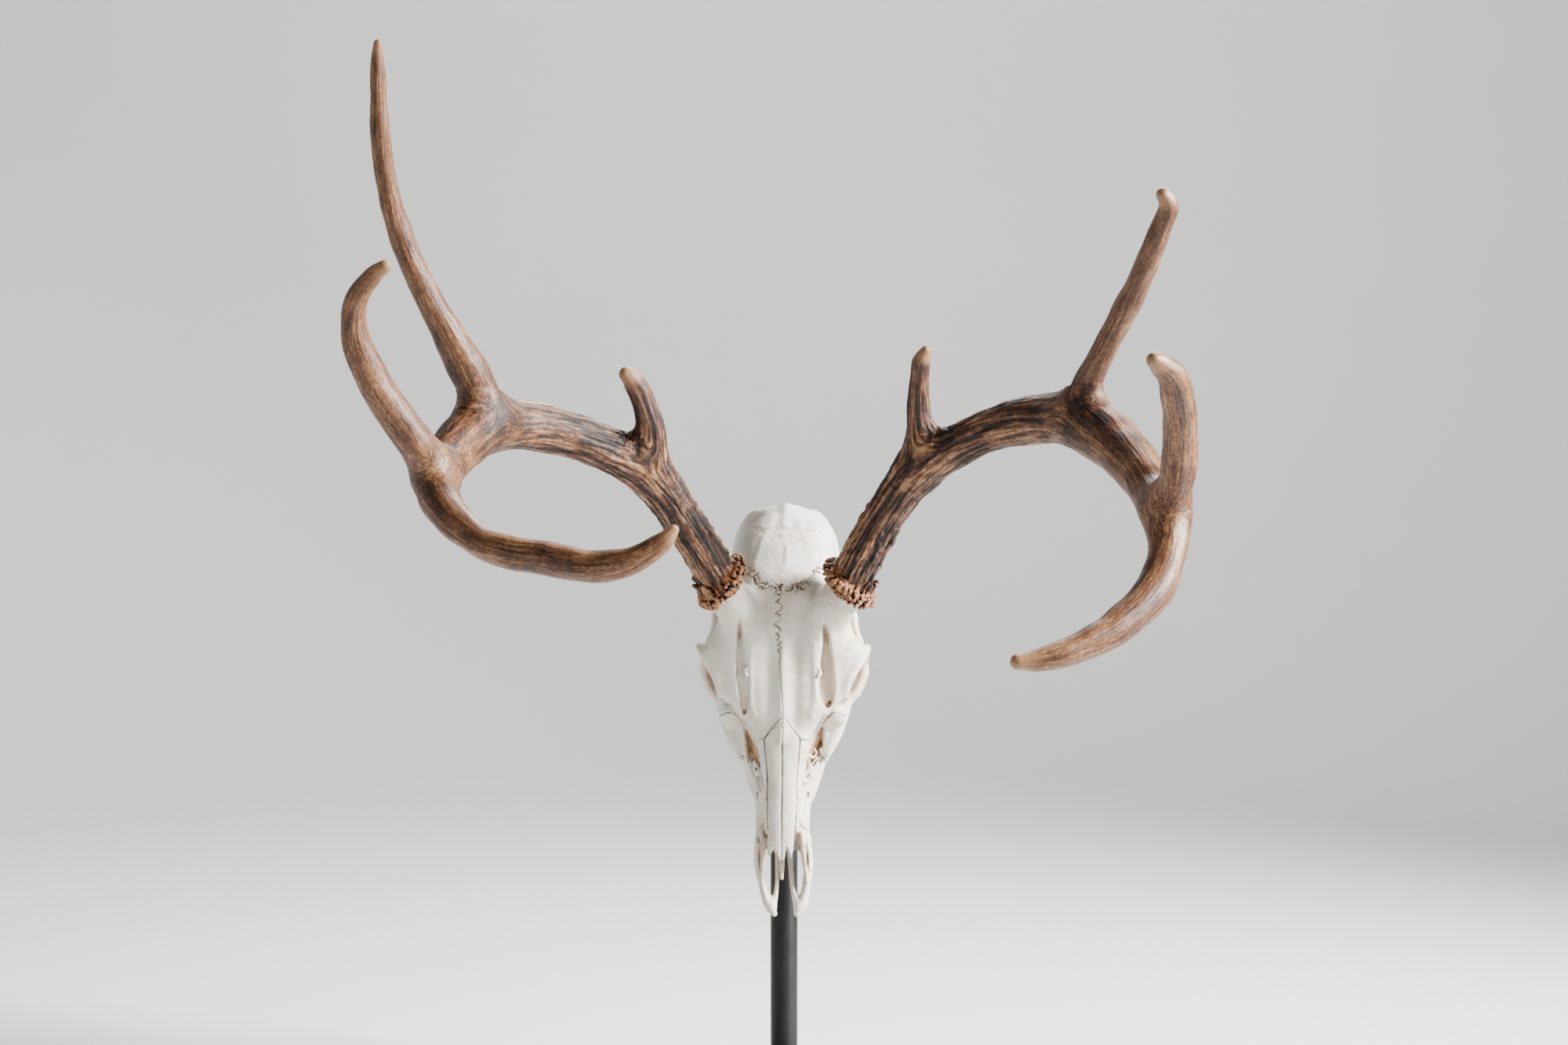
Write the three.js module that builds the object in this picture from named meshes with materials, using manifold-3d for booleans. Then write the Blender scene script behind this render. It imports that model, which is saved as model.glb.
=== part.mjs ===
// A white-tailed deer skull with its antlers, held nose down on a black display stand.
// Millimetres, +Z up. The origin is on the floor, under the middle of the forehead.
// The face looks along -Y, and +X is the deer's left.
//
// The bones are drawn in the skull's own frame, with the tooth row level: x to the deer's left,
// y backwards from the nose tip, z up from the gum line. Nested groups then set the skull on its
// stand. The antlers are drawn in the stand's frame.

import * as THREE from "three";
import { mergeVertices } from "three/addons/utils/BufferGeometryUtils.js";
import Module from "manifold-3d";

const wasm = await Module();
wasm.setup();

// ---- driving dimensions -------------------------------------------------------------------

const GAP = 0.4; // thin cut between neighbouring pieces
const SMALLEST_DETAIL = 0.1; // finer slivers are smoothed away
const FACE_PITCH = 20.5; // degrees between the line of the face and the tooth row
const NOSE_HEIGHT = 150; // tip of the nose above the floor
const NOSE_BACK = 19; // tip of the nose behind the forehead's foremost plane
const NOSE_TIP_Z = 8; // tip of the nose above the gum line, in the skull's frame
const YAW = -1.5; // degrees that the face turns towards the deer's right
const ROLL = 0.4; // degrees that the nose swings towards the deer's right
const PIVOT = [0, 25, 385]; // yaw and roll turn the skull about this point
const NOSE_TIP_SPREAD = { left: 0.07, right: -0.03 }; // sideways lean of each nose-tip bone

const BURR_RADIUS = 22;
const BURR_THICKNESS = 9;
const BURR_LOBES = 9;

const POST_RADIUS = 10;
const POST_BACK = 121; // the post's axis behind the forehead's foremost plane
const POST_TOP = 404;
const BASE_WIDTH = 300;
const BASE_FRONT = -150;
const BASE_BACK = 180;
const BASE_THICKNESS = 8;
const BASE_CORNER = 30;
const BASE_EDGE = 1;
const FLANGE_RADIUS = 27;
const FLANGE_HEIGHT = 14;
const HOOK_RADIUS = 4;
const ARM_RADIUS = 4;
const ARM_POST_HEIGHT = 214; // where the arm leaves the post
const COLLAR_RADIUS = 15;
const COLLAR_HEIGHT = 20;
const PAD_RADIUS = 9;
const PAD_THICKNESS = 5;
const PAD_CLEARANCE = 0.8;
const PAD_SEAT = [0, 98, 7]; // on the palate between the tooth rows, in the skull's frame

// [x, y, z, radius] along each antler, from the burr or the fork outwards.
// The deer's right antler stands taller than the left one and reaches further out.
const LEFT_ANTLER = {
  beam: [
    [44, -15, 383, 13], [54, -28, 404, 13.5], [68, -40, 430, 13], [84, -53, 453, 14],
    [105, -68, 469, 13.5], [129, -85, 482, 13], [152, -105, 488, 15], [176, -130, 489, 16],
    [194, -160, 478, 17], [206, -190, 462, 15], [215, -220, 443, 14], [219, -245, 425, 13],
    [215.5, -262, 405, 10.6], [204, -280, 385, 10.8], [181, -297, 366, 9.4],
    [157, -308, 355, 8.3], [137, -314, 350, 6.2], [126, -317, 349, 4.5],
  ],
  forks: [3, 7, 11],
  burrNormal: [0.62, -0.38, 0.69],
  tines: {
    brow: [[88, -55, 455, 13], [89, -65, 478, 8.6], [87, -78, 505, 6.6], [88, -89, 526, 5.6],
      [91, -94, 534, 3.4]],
    second: [[184, -138, 484, 14], [187, -153, 511, 9], [195.5, -170, 532, 7.6],
      [204.5, -185, 552, 7.8], [212.5, -203, 573, 7.1], [219, -219, 594, 6.5],
      [222.5, -229, 606, 5.8], [218.5, -234, 613, 4.2]],
    third: [[218, -240, 432, 12], [222, -263, 452, 10.2], [220, -280, 475, 9.7],
      [216, -295, 491, 9.3], [210, -310, 503, 8], [202, -320, 509, 6], [198, -324, 511, 4.3]],
  },
};
const RIGHT_ANTLER = {
  beam: [
    [-42, -14, 384, 13], [-56, -30, 407, 13], [-72, -42, 433, 13], [-89, -55, 456, 14.5],
    [-115, -72, 472, 14], [-143, -92, 482, 14.5], [-169, -114, 486, 16], [-187, -142, 482, 17],
    [-197, -176, 468, 16], [-201, -213, 450, 15], [-192, -240, 432, 12], [-173, -259, 414, 9],
    [-153, -272, 407, 9.3], [-130, -283, 404, 9.5], [-108, -293, 400, 9.3],
    [-86, -300, 402, 9], [-66, -303, 413, 7], [-57, -304, 421, 3.6],
  ],
  forks: [3, 7, 9],
  burrNormal: [-0.72, -0.38, 0.58],
  tines: {
    brow: [[-85, -54, 454, 12], [-86, -72, 482, 8.8], [-91, -84, 503, 7.6],
      [-97, -91, 515, 6.4], [-101, -94, 519, 4.8]],
    second: [[-184, -136, 480, 14], [-195, -157, 517, 10.6], [-210.5, -171, 551, 8.6],
      [-224, -184, 582, 7.8], [-232.5, -197, 611, 6.8], [-236, -210, 639, 5.9],
      [-236, -222, 669, 4.9], [-235, -230, 690, 3.9], [-234, -234, 700, 2.6]],
    third: [[-200, -209, 452, 14], [-213, -235, 471, 10.8], [-229, -250, 497, 10],
      [-239, -261, 520, 9], [-241, -270, 536, 7.2], [-237, -278, 549, 6.3],
      [-228, -285, 560, 5], [-220, -289, 565, 3.8]],
  },
};
const BEAM_PARTS = ["base", "middle", "fore", "tip"];

const BONE = { color: 0xe9e4d8, roughness: 0.55, metalness: 0 };
const ANTLER = { color: 0x7a4f33, roughness: 0.6, metalness: 0 };
const STEEL = { color: 0x101012, roughness: 0.5, metalness: 0.4 };
const RUBBER = { color: 0x1c1c1c, roughness: 0.85, metalness: 0 };

// ---- solids -------------------------------------------------------------------------------

const v3 = (x, y, z) => new THREE.Vector3(x, y, z);
const degrees = THREE.MathUtils.degToRad;

/** A three.js geometry as a closed solid that can be joined and cut, facing out. */
function solid(geometry) {
  const bare = geometry.clone();
  bare.deleteAttribute("normal");
  bare.deleteAttribute("uv");
  const merged = mergeVertices(bare, 1e-4);
  const build = (triangles) => new wasm.Manifold(new wasm.Mesh({
    numProp: 3,
    vertProperties: merged.attributes.position.array,
    triVerts: new Uint32Array(triangles),
  }));
  const made = build(merged.index.array);
  return made.volume() > 0 ? made : build(Array.from(merged.index.array).reverse());
}

/** A solid back as a three.js geometry. */
function geometryOf(manifold) {
  const mesh = manifold.getMesh();
  const stride = mesh.numProp;
  const positions = new Float32Array(mesh.numVert * 3);
  for (let i = 0; i < mesh.numVert; i++) {
    positions.set(mesh.vertProperties.subarray(i * stride, i * stride + 3), i * 3);
  }
  return new THREE.BufferGeometry()
    .setAttribute("position", new THREE.BufferAttribute(positions, 3))
    .setIndex(new THREE.BufferAttribute(mesh.triVerts, 1));
}

/** A solid's geometry without the slivers that cutting leaves. */
const tidied = (manifold) => geometryOf(solid(geometryOf(manifold)).simplify(SMALLEST_DETAIL));

const joined = (solids) => solids.reduce((whole, next) => whole.add(next));
const cut = (body, cutters) => cutters.reduce((rest, next) => rest.subtract(next), body);
const mirrored = (manifold) => solid(geometryOf(manifold).scale(-1, 1, 1));
const onBothSides = (manifold) => [manifold, mirrored(manifold)];

/** A closed skin over rings of equal length, each a list of points, with a fan on each end. */
function skin(rings) {
  const sides = rings[0].length;
  const middle = (ring) => ring.reduce((sum, p) => sum.add(p), v3(0, 0, 0)).divideScalar(sides);
  const points = [...rings.flat(), middle(rings[0]), middle(rings.at(-1))];
  const firstFan = points.length - 2;
  const lastFan = points.length - 1;
  const lastRing = (rings.length - 1) * sides;
  const faces = [];
  for (let i = 0; i < sides; i++) {
    const next = (i + 1) % sides;
    for (let start = 0; start < lastRing; start += sides) {
      faces.push(start + i, start + next, start + sides + i);
      faces.push(start + next, start + sides + next, start + sides + i);
    }
    faces.push(firstFan, next, i, lastFan, lastRing + i, lastRing + next);
  }
  return solid(new THREE.BufferGeometry().setFromPoints(points).setIndex(faces));
}

/** The values at t, counted in stops, on a smooth curve through a list of stops. */
function smooth(stops, t) {
  const i = Math.min(Math.floor(t), stops.length - 2);
  const f = t - i;
  const at = (k) => stops[Math.max(0, Math.min(stops.length - 1, k))];
  return stops[i].map((b, k) => {
    const [a, c, d] = [at(i - 1)[k], at(i + 1)[k], at(i + 2)[k]];
    return b + 0.5 * f * (c - a + f * (2 * a - 5 * b + 4 * c - d + f * (3 * (b - c) + d - a)));
  });
}

/** A ring of points round a centre, across a direction. side is kept as the ring's first axis. */
function ringRound(centre, along, side, sides, across, up) {
  side.addScaledVector(along, -side.dot(along)).normalize();
  const rise = v3(0, 0, 0).crossVectors(side, along);
  return Array.from({ length: sides }, (_, i) => {
    const angle = (2 * Math.PI * i) / sides;
    return centre.clone()
      .addScaledVector(side, across * Math.cos(angle))
      .addScaledVector(rise, up * Math.sin(angle));
  });
}

/**
 * A bar along a smooth curve through stops, each [x, y, z, radius].
 * from, to: the stretch that is made, counted in stops.
 * across, up: shares of the radius, for a flat bar. grow: added to the radius.
 */
function bar(stops, { sides = 8, from = 0, to = stops.length - 1, across = 1, up = 1, grow = 0,
  round = false } = {}) {
  const nudge = 0.01; // of the way between two stops
  const closest = 0.2; // two rings stay this share of a stop apart
  const last = stops.length - 1;
  const place = (t) => v3(...smooth(stops, t).slice(0, 3));
  const heading = (t) =>
    place(Math.min(t + nudge, last)).sub(place(Math.max(t - nudge, 0))).normalize();
  const first = heading(0);
  const side = Math.abs(first.z) > 0.9 ? v3(1, 0, 0) : v3(0, 0, 0).crossVectors(first, v3(0, 0, 1));
  // The frame is carried from the first stop, so that two stretches of one bar match.
  const marks = Array.from({ length: last + 1 }, (_, i) => i)
    .filter((t) => Math.abs(t - from) > closest && Math.abs(t - to) > closest)
    .concat(from, to)
    .sort((a, b) => a - b);
  const rings = [];
  for (const t of marks) {
    const radius = smooth(stops, t)[3] + grow;
    const ring = ringRound(place(t), heading(t), side, sides, radius * across, radius * up);
    if (t >= from && t <= to) rings.push(ring);
  }
  if (round) {
    const radius = smooth(stops, to)[3] + grow;
    const along = heading(to);
    const tip = place(to).addScaledVector(along, radius * 0.7);
    rings.push(ringRound(tip, along, side, sides, radius * across * 0.6, radius * up * 0.6));
  }
  return skin(rings);
}

/**
 * A body along the skull's y axis, alike on both sides.
 * stations: [y, half width, top, height of the widest place, bottom].
 * square: 1 is an ellipse, and less is boxier.
 */
function body(stations, { sides = 14, square = 0.85 } = {}) {
  const bend = (x) => Math.sign(x) * Math.abs(x) ** square;
  return skin(stations.map(([y, width, top, middle, bottom]) =>
    Array.from({ length: sides }, (_, i) => {
      const angle = (2 * Math.PI * (i + 0.5)) / sides;
      const rise = bend(Math.sin(angle));
      const height = rise * (rise > 0 ? top - middle : middle - bottom);
      return v3(width * bend(Math.cos(angle)), y, middle + height);
    })));
}

/** An egg: its centre, its three half sizes, and its turns in degrees. */
function egg(centre, size, turns = [0, 0, 0], detail = [12, 8]) {
  const shape = new THREE.SphereGeometry(1, ...detail).rotateX(Math.PI / 2).scale(...size);
  const turn = new THREE.Euler(...turns.map(degrees));
  shape.applyMatrix4(new THREE.Matrix4().makeRotationFromEuler(turn));
  return solid(shape.translate(...centre));
}

/** An outline drawn out by a depth, and grown by grow on every side. */
function block(outline, depth, grow) {
  const shape = new THREE.Shape(outline.map(([a, b]) => new THREE.Vector2(a, b)));
  return new THREE.ExtrudeGeometry(shape, {
    depth,
    bevelEnabled: grow > 0,
    bevelThickness: grow,
    bevelSize: 0,
    bevelOffset: grow,
    bevelSegments: 1,
  });
}

/** A block whose (x, y) outline runs from one height to another. */
const planBlock = (outline, fromZ, toZ, grow = 0) =>
  solid(block(outline, toZ - fromZ, grow).translate(0, 0, fromZ));

/** A block whose (y, z) outline runs from one x to another. */
function sideBlock(outline, fromX, toX, grow = 0) {
  const turn = new THREE.Matrix4().makeBasis(v3(0, 1, 0), v3(0, 0, 1), v3(1, 0, 0));
  return solid(block(outline, toX - fromX, grow).applyMatrix4(turn).translate(fromX, 0, 0));
}

// ---- the skull's forms, with the tooth row level -------------------------------------------

const muzzle = () => body([
  [35, 8.5, 40.5, 37, 33.5],
  [58, 11.5, 48.5, 39, 27],
  [80, 13.5, 56, 42, 24],
  [105, 18, 64, 46, 24],
  [128, 25, 72.5, 50, 24],
  [150, 33, 82, 56, 26],
]);

const cheeks = () => body([
  [50, 14.5, 22, 15, 9],
  [66, 17, 28, 17, 7.5],
  [84, 19, 34, 18, 7],
  [100, 25.5, 42, 22, 7],
  [118, 34, 50, 27, 7],
  [138, 41, 55, 32, 7],
  [158, 37, 48, 30, 7],
  [170, 30, 42, 26, 9],
], { square: 0.75 });

const forehead = () => body([
  [124, 21, 70, 62, 50],
  [139, 39, 77.5, 67, 52],
  [153, 48, 84, 71, 56],
  [171, 56, 92.5, 75, 60],
  [184, 49, 98, 77, 58],
  [198, 41, 103, 80, 56],
  [212, 37, 104.5, 78, 50],
], { square: 0.8 });

const braincase = () => body([
  [182, 22, 90, 66, 40],
  [198, 33, 101, 66, 30],
  [218, 37.5, 103.5, 64, 25],
  [238, 38, 99, 61, 23],
  [256, 35.5, 90.5, 57, 22],
  [270, 28, 82, 54, 22],
  [279, 17, 76, 50, 30],
]);

const skullBase = () => body([
  [140, 12, 60, 40, 24],
  [175, 9, 60, 34, 20],
  [205, 9, 50, 28, 18],
  [240, 12, 50, 28, 17],
  [266, 17, 44, 30, 21],
], { sides: 10 });

/** The ridge that the cheek teeth grow from. */
const gumRidge = () => bar([
  [17, 84, 7, 5],
  [20.5, 97, 7, 6.8],
  [25, 118, 7.5, 7.8],
  [28, 142, 8, 8.6],
  [28, 168, 8, 8],
], { sides: 8, up: 1.1 });

/** The rim over the eye, from its front corner over the top to its back corner. */
const eyeRim = () => bar([
  [43.5, 140, 45, 4.4],
  [43, 140, 60, 5],
  [46.5, 150, 76, 5],
  [53, 164, 77.5, 4.4],
  [57, 174, 72, 4.4],
  [57, 177, 62, 4],
], { sides: 7 });

/** The lump in front of the eye that carries the front of its rim. */
const tearBone = () => egg([34, 134, 52], [11, 9, 15], [0, 0, 0], [9, 6]);

/** The cheek bone: under the eye and back to the ear, with a branch up behind the eye. */
function cheekBone(grow = 0) {
  const arch = bar([
    [36, 122, 33, 6.5],
    [44.5, 142, 37, 7],
    [51.5, 158, 37.5, 5.6],
    [55, 171, 38.5, 5.6],
    [53.5, 187, 40.5, 5],
    [49, 203, 43, 5],
    [43, 216, 45, 6],
    [33, 224, 47, 7],
  ], { sides: 8, across: 0.7, up: 1.1, grow });
  const branch = bar([
    [53, 170, 39, 5],
    [55.5, 175, 50, 4.2],
    [57, 177.5, 60, 4],
  ], { sides: 7, grow });
  return arch.add(branch);
}

const nuchalCrest = () => bar([
  [0, 279.5, 76.5, 4],
  [15.5, 277.5, 75, 3.8],
  [25.5, 270, 67, 3.8],
  [34, 259, 55, 3.8],
  [36.5, 252, 39, 4],
], { sides: 7 });

const condyle = () => egg([14.5, 273, 31], [9.5, 9, 14], [20, -20, 0], [10, 7]);

const paroccipital = () => bar([
  [27, 258, 36, 6.5],
  [27.5, 262, 14, 4.5],
  [25.5, 258, -3, 2.6],
], { sides: 7, across: 0.75, up: 1.3, round: true });

const earBulla = () => egg([19.5, 240, 21], [8, 12, 12], [0, 0, 12], [9, 6]);

const earTube = () => bar([[24, 238, 30, 6], [41, 240, 40, 5]], { sides: 8 });

const pterygoid = () => bar([
  [12.5, 162, 12, 9],
  [12, 184, 15, 8],
  [10, 204, 25, 6],
], { sides: 7, across: 0.33 });

/** One lobe of a cheek tooth: a tapered prism with a slanting crown. */
function toothLobe(x, y, width, length) {
  const ring = (share, z, slant) => Array.from({ length: 6 }, (_, i) => {
    const angle = (Math.PI * (i + 0.5)) / 3;
    const out = Math.cos(angle);
    return v3(
      x + share * 0.5 * width * out,
      y + share * 0.5 * length * Math.sin(angle),
      z + slant * out,
    );
  });
  return skin([ring(1.1, 4, 0), ring(1.05, -6, 0), ring(0.8, -10.5, 2)]);
}

/** Three premolars of one lobe each, then three molars of two. */
function toothRow() {
  const teeth = [
    { x: 19.5, y: 93, width: 9.5, length: 10.5, lobes: 1 },
    { x: 22, y: 104, width: 11, length: 11, lobes: 1 },
    { x: 24.5, y: 115.3, width: 12, length: 11, lobes: 1 },
    { x: 26.5, y: 128, width: 13.5, length: 14, lobes: 2 },
    { x: 28, y: 142.8, width: 14, length: 15.2, lobes: 2 },
    { x: 28, y: 158.4, width: 13.5, length: 15.2, lobes: 2 },
  ];
  return joined(teeth.flatMap(({ x, y, width, length, lobes }) =>
    Array.from({ length: lobes }, (_, i) => {
      const step = length / lobes;
      return toothLobe(x, y + step * (i - (lobes - 1) / 2), width, step * 0.96);
    })));
}

/** The bone of the nose tip: an outer bar, its branch up the nose, and an inner prong. */
function premaxilla(side, grow = 0) {
  // The bone swings sideways in front of its root, which lies 60 back from the tip.
  const swung = ([x, y, z, radius]) => {
    const lean = NOSE_TIP_SPREAD[side] * Math.max(0, 60 - y);
    return [side === "left" ? x + lean : -x - lean, y, z, radius];
  };
  const outerBar = bar([
    [14.5, 72, 20, 5],
    [17, 54, 15, 4.8],
    [16.8, 38, 11.5, 4.2],
    [14.4, 22, 9, 3.8],
    [10.6, 10, 8, 4.6],
    [6.2, 2, 8, 2.6],
  ].map(swung), { across: 0.8, grow });
  const noseBranch = bar([
    [16.5, 42, 14, 4],
    [15.5, 56, 25, 4.4],
    [13.2, 70, 37, 4.2],
    [12.2, 78, 44, 2.8],
  ].map(swung), { sides: 7, across: 0.65, up: 1.1, grow });
  const prong = bar([
    [4.6, 60, 9.5, 2.4],
    [4.1, 40, 8.5, 2.2],
    [4.8, 22, 8, 2.2],
    [7.6, 8, 8, 3],
  ].map(swung), { sides: 7, across: 0.8, up: 1.1, grow });
  return joined([outerBar, noseBranch, prong]);
}

/** The thin wall down the middle of the nose, seen end on between the two prongs. */
const septum = (grow = 0) => bar([
  [0, 27, 12, 2.4],
  [0, 50, 15, 3],
  [0, 90, 17, 3.4],
  [0, 138, 20, 3.6],
], { sides: 7, across: 0.7, up: 1.4, grow });

// ---- the skull's hollows --------------------------------------------------------------------

const noseHollow = () => body([
  [20, 9, 37, 26, 10],
  [44, 10.5, 39.5, 26, 11.5],
  [62, 11, 45.5, 28, 12],
  [80, 11.5, 52, 32, 12],
  [105, 14, 59, 36, 12],
  [126, 16, 65, 40, 16],
], { sides: 12, square: 0.75 });

/** The long hole on each side of the nose, in front of the eye. */
const faceHole = () => egg([24, 108, 58], [7, 20, 12], [18, -40, -16], [10, 7]);

const eyeSocket = () => egg([47, 158.5, 58.5], [33, 17.5, 18], [0, 8, -14], [12, 9]);

/** The hollow behind the eye, where the jaw muscle passed inside the cheek bone. */
const temple = () => egg([53, 205, 60], [13, 27, 22], [0, 0, -4], [12, 8]);

/** The shallow pit in front of the eye. */
const tearPit = () => egg([51, 124, 48], [12, 13, 12], [0, 0, -20], [10, 6]);

const browGroove = () => bar([
  [31, 132, 80, 3],
  [30.5, 146, 87.5, 6],
  [29.5, 160, 94.5, 5.4],
  [28.5, 172, 98.5, 4],
  [27.5, 182, 103, 2],
], { sides: 7 });

const brainHole = () => bar([
  [0, 238, 56, 20],
  [0, 258, 49, 14],
  [0, 274, 43, 11.5],
  [0, 294, 35, 13],
], { sides: 12 });

const throat = () => bar([
  [0, 138, 20, 6],
  [0, 160, 17, 8],
  [0, 182, 11, 9],
], { sides: 10 });

// ---- parting the skull into its bones --------------------------------------------------------

const FAR = 150; // past every bone of the skull

/** The two nasal bones' outline, seen from above, on one side of the midline. */
const nasalPlan = [
  [GAP / 2, -FAR], [10, -FAR], [10.5, 70], [11.5, 90], [12.5, 112], [GAP / 2, 136],
];

/** A frontal bone from above, between the nasal bone and the wavy suture of the braincase. */
const frontalPlan = [
  [GAP / 2, 120], [14, 110], [24, 116], [34, 128], [FAR, 132], [FAR, 226], [32, 226], [14, 213],
  [GAP / 2, 206],
];

/** The same bone from the side, above the eye socket's floor and the braincase's flank. */
const frontalSide = [
  [100, 40], [132, 56], [150, 60], [181, 58], [192, 68], [206, 84], [226, 90], [226, FAR],
  [100, FAR],
];

/** A cheek half from the side, from the nose to behind the last tooth. */
const maxillaSide = [[0, -FAR], [171, -FAR], [173, 20], [160, 62], [160, FAR], [0, FAR]];

/** Splits a solid in two along a block: the part inside it, and the rest with a thin gap. */
function parted(whole, makeBlock) {
  return [whole.intersect(makeBlock(0)), whole.subtract(makeBlock(GAP))];
}

const frontalBlock = (grow) =>
  planBlock(frontalPlan, 0, FAR, grow).intersect(sideBlock(frontalSide, GAP / 2, FAR, grow));

/** Every bone as a solid, by name. antlers: solids that the frontal bones stop short of. */
function bonesOf(pedicles, antlers) {
  const lumps = [muzzle(), cheeks(), forehead(), braincase(), skullBase(), ...pedicles];
  const hollows = [noseHollow(), brainHole(), throat(),
    ...[faceHole, eyeSocket, temple, tearPit, browGroove].flatMap((make) => onBothSides(make()))];
  const ridges = [gumRidge, eyeRim, tearBone, nuchalCrest, condyle, paroccipital, earBulla, earTube,
    pterygoid, toothRow].flatMap((make) => onBothSides(make()));
  const separate = [septum(GAP), premaxilla("left", GAP), premaxilla("right", GAP),
    ...onBothSides(cheekBone(GAP))];
  const holed = cut(joined(lumps), hollows);
  let rest = cut(joined([holed, ...ridges]), [brainHole(), ...separate, ...antlers]);
  const bones = { vomer: septum() };
  const flip = (blockMaker) => (grow) => mirrored(blockMaker(grow));
  const blocks = {
    nasal: (grow) => planBlock(nasalPlan, 30, FAR, grow),
    frontal: frontalBlock,
    maxilla: (grow) => sideBlock(maxillaSide, GAP / 2, FAR, grow),
  };
  for (const [name, makeBlock] of Object.entries(blocks)) {
    [bones[`${name}_left`], rest] = parted(rest, makeBlock);
    [bones[`${name}_right`], rest] = parted(rest, flip(makeBlock));
  }
  bones.premaxilla_left = premaxilla("left");
  bones.premaxilla_right = premaxilla("right");
  [bones.zygomatic_left, bones.zygomatic_right] = onBothSides(cheekBone());
  bones.cranium = rest;
  return bones;
}

// ---- antlers -------------------------------------------------------------------------------

/** The knobbly ring round the foot of an antler, across its own normal. */
function burr({ beam, burrNormal }, grow = 0) {
  const foot = v3(...beam[0].slice(0, 3));
  const along = v3(...burrNormal).normalize();
  const side = v3(0, 1, 0);
  const sides = BURR_LOBES * 2;
  const ring = (height, radius) => {
    const centre = foot.clone().addScaledVector(along, height);
    const points = ringRound(centre, along, side, sides, radius, radius);
    return points.map((p, i) => p.lerp(centre, i % 2 ? 0.1 : 0));
  };
  const half = BURR_THICKNESS / 2;
  return skin([
    ring(-half - grow, BURR_RADIUS * 0.76 + grow),
    ring(-half * 0.3, BURR_RADIUS + grow),
    ring(half * 0.5, BURR_RADIUS * 0.98 + grow),
    ring(half + 2 + grow, BURR_RADIUS * 0.7 + grow),
  ]);
}

/** The beam's lengths between its forks, and its tines, as solids by name. */
function antlerParts(antler) {
  const { beam, forks, tines } = antler;
  const trim = 0.007; // of the way between two stops, which leaves a thin gap at a fork
  const ends = [0, ...forks, beam.length - 1];
  const parts = {};
  BEAM_PARTS.forEach((name, i) => {
    const isTip = i === BEAM_PARTS.length - 1;
    const from = ends[i] + (i === 0 ? 0 : trim);
    const to = ends[i + 1] - (isTip ? 0 : trim);
    parts[`beam_${name}`] = bar(beam, { sides: 10, from, to, round: isTip });
  });
  parts.beam_base = parts.beam_base.add(burr(antler));
  const wholeBeam = bar(beam, { sides: 10, grow: GAP });
  for (const [name, stops] of Object.entries(tines)) {
    parts[`tine_${name}`] = bar(stops, { sides: 8, round: true }).subtract(wholeBeam);
  }
  return parts;
}

/** The bone that an antler stands on, from the forehead up to the burr. top: in the skull's frame. */
const pedicle = (top) => bar([
  [top.x * 0.5, 184, 78, 20],
  [top.x * 0.66, 192, 92, 16],
  [top.x * 0.84, 199, 108, 13.5],
  [top.x, top.y, top.z, 14],
], { sides: 12 });

// ---- the stand -----------------------------------------------------------------------------

/** A flat steel plate with round corners and a small bevel round its edges. */
function basePlate() {
  const [w, f, b, r] = [BASE_WIDTH / 2 - BASE_EDGE, BASE_FRONT + BASE_EDGE, BASE_BACK - BASE_EDGE,
    BASE_CORNER];
  const shape = new THREE.Shape()
    .moveTo(-w + r, f)
    .lineTo(w - r, f)
    .absarc(w - r, f + r, r, -Math.PI / 2, 0)
    .lineTo(w, b - r)
    .absarc(w - r, b - r, r, 0, Math.PI / 2)
    .lineTo(-w + r, b)
    .absarc(-w + r, b - r, r, Math.PI / 2, Math.PI)
    .lineTo(-w, f + r)
    .absarc(-w + r, f + r, r, Math.PI, 1.5 * Math.PI);
  return new THREE.ExtrudeGeometry(shape, {
    depth: BASE_THICKNESS - 2 * BASE_EDGE,
    bevelThickness: BASE_EDGE,
    bevelSize: BASE_EDGE,
    bevelSegments: 1,
    curveSegments: 4,
  }).translate(0, 0, BASE_EDGE);
}

/** The disc that the post is screwed to, and the post. */
function post() {
  const foot = BASE_THICKNESS + GAP;
  const profile = [
    [0, foot], [FLANGE_RADIUS, foot], [FLANGE_RADIUS, foot + 5], [POST_RADIUS + 4, foot + 8],
    [POST_RADIUS, foot + FLANGE_HEIGHT], [POST_RADIUS, POST_TOP - 1.5],
    [POST_RADIUS - 1.5, POST_TOP], [0, POST_TOP],
  ];
  return new THREE.LatheGeometry(profile.map(([r, z]) => new THREE.Vector2(r, z)), 18)
    .rotateX(Math.PI / 2)
    .translate(0, POST_BACK, 0);
}

/** A ring with a square section round the z axis. */
function collar(inner, outer, height) {
  const profile = [[inner, 0], [outer, 0], [outer, height], [inner, height], [inner, 0]];
  return new THREE.LatheGeometry(profile.map(([r, z]) => new THREE.Vector2(r, z)), 18)
    .rotateX(Math.PI / 2);
}

/** A plain rod between two points. */
function rod(start, end, radius, sides = 12) {
  const reach = end.clone().sub(start);
  const turn = new THREE.Quaternion().setFromUnitVectors(v3(0, 1, 0), reach.clone().normalize());
  return new THREE.CylinderGeometry(radius, radius, reach.length(), sides)
    .applyQuaternion(turn)
    .translate(...start.clone().addScaledVector(reach, 0.5));
}

/** The rod that bends over the post's top and down into the hole at the back of the skull. */
const hook = () => bar([
  [0, POST_BACK, POST_TOP + GAP, HOOK_RADIUS],
  [0, POST_BACK - 0.5, POST_TOP + 17, HOOK_RADIUS],
  [0, POST_BACK - 5, POST_TOP + 25, HOOK_RADIUS],
  [0, POST_BACK - 14, POST_TOP + 29, HOOK_RADIUS],
  [0, POST_BACK - 23, POST_TOP + 26, HOOK_RADIUS],
  [0, POST_BACK - 33, POST_TOP + 17.5, HOOK_RADIUS],
  [0, POST_BACK - 46, POST_TOP + 6, HOOK_RADIUS],
], { sides: 10, round: true });

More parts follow.
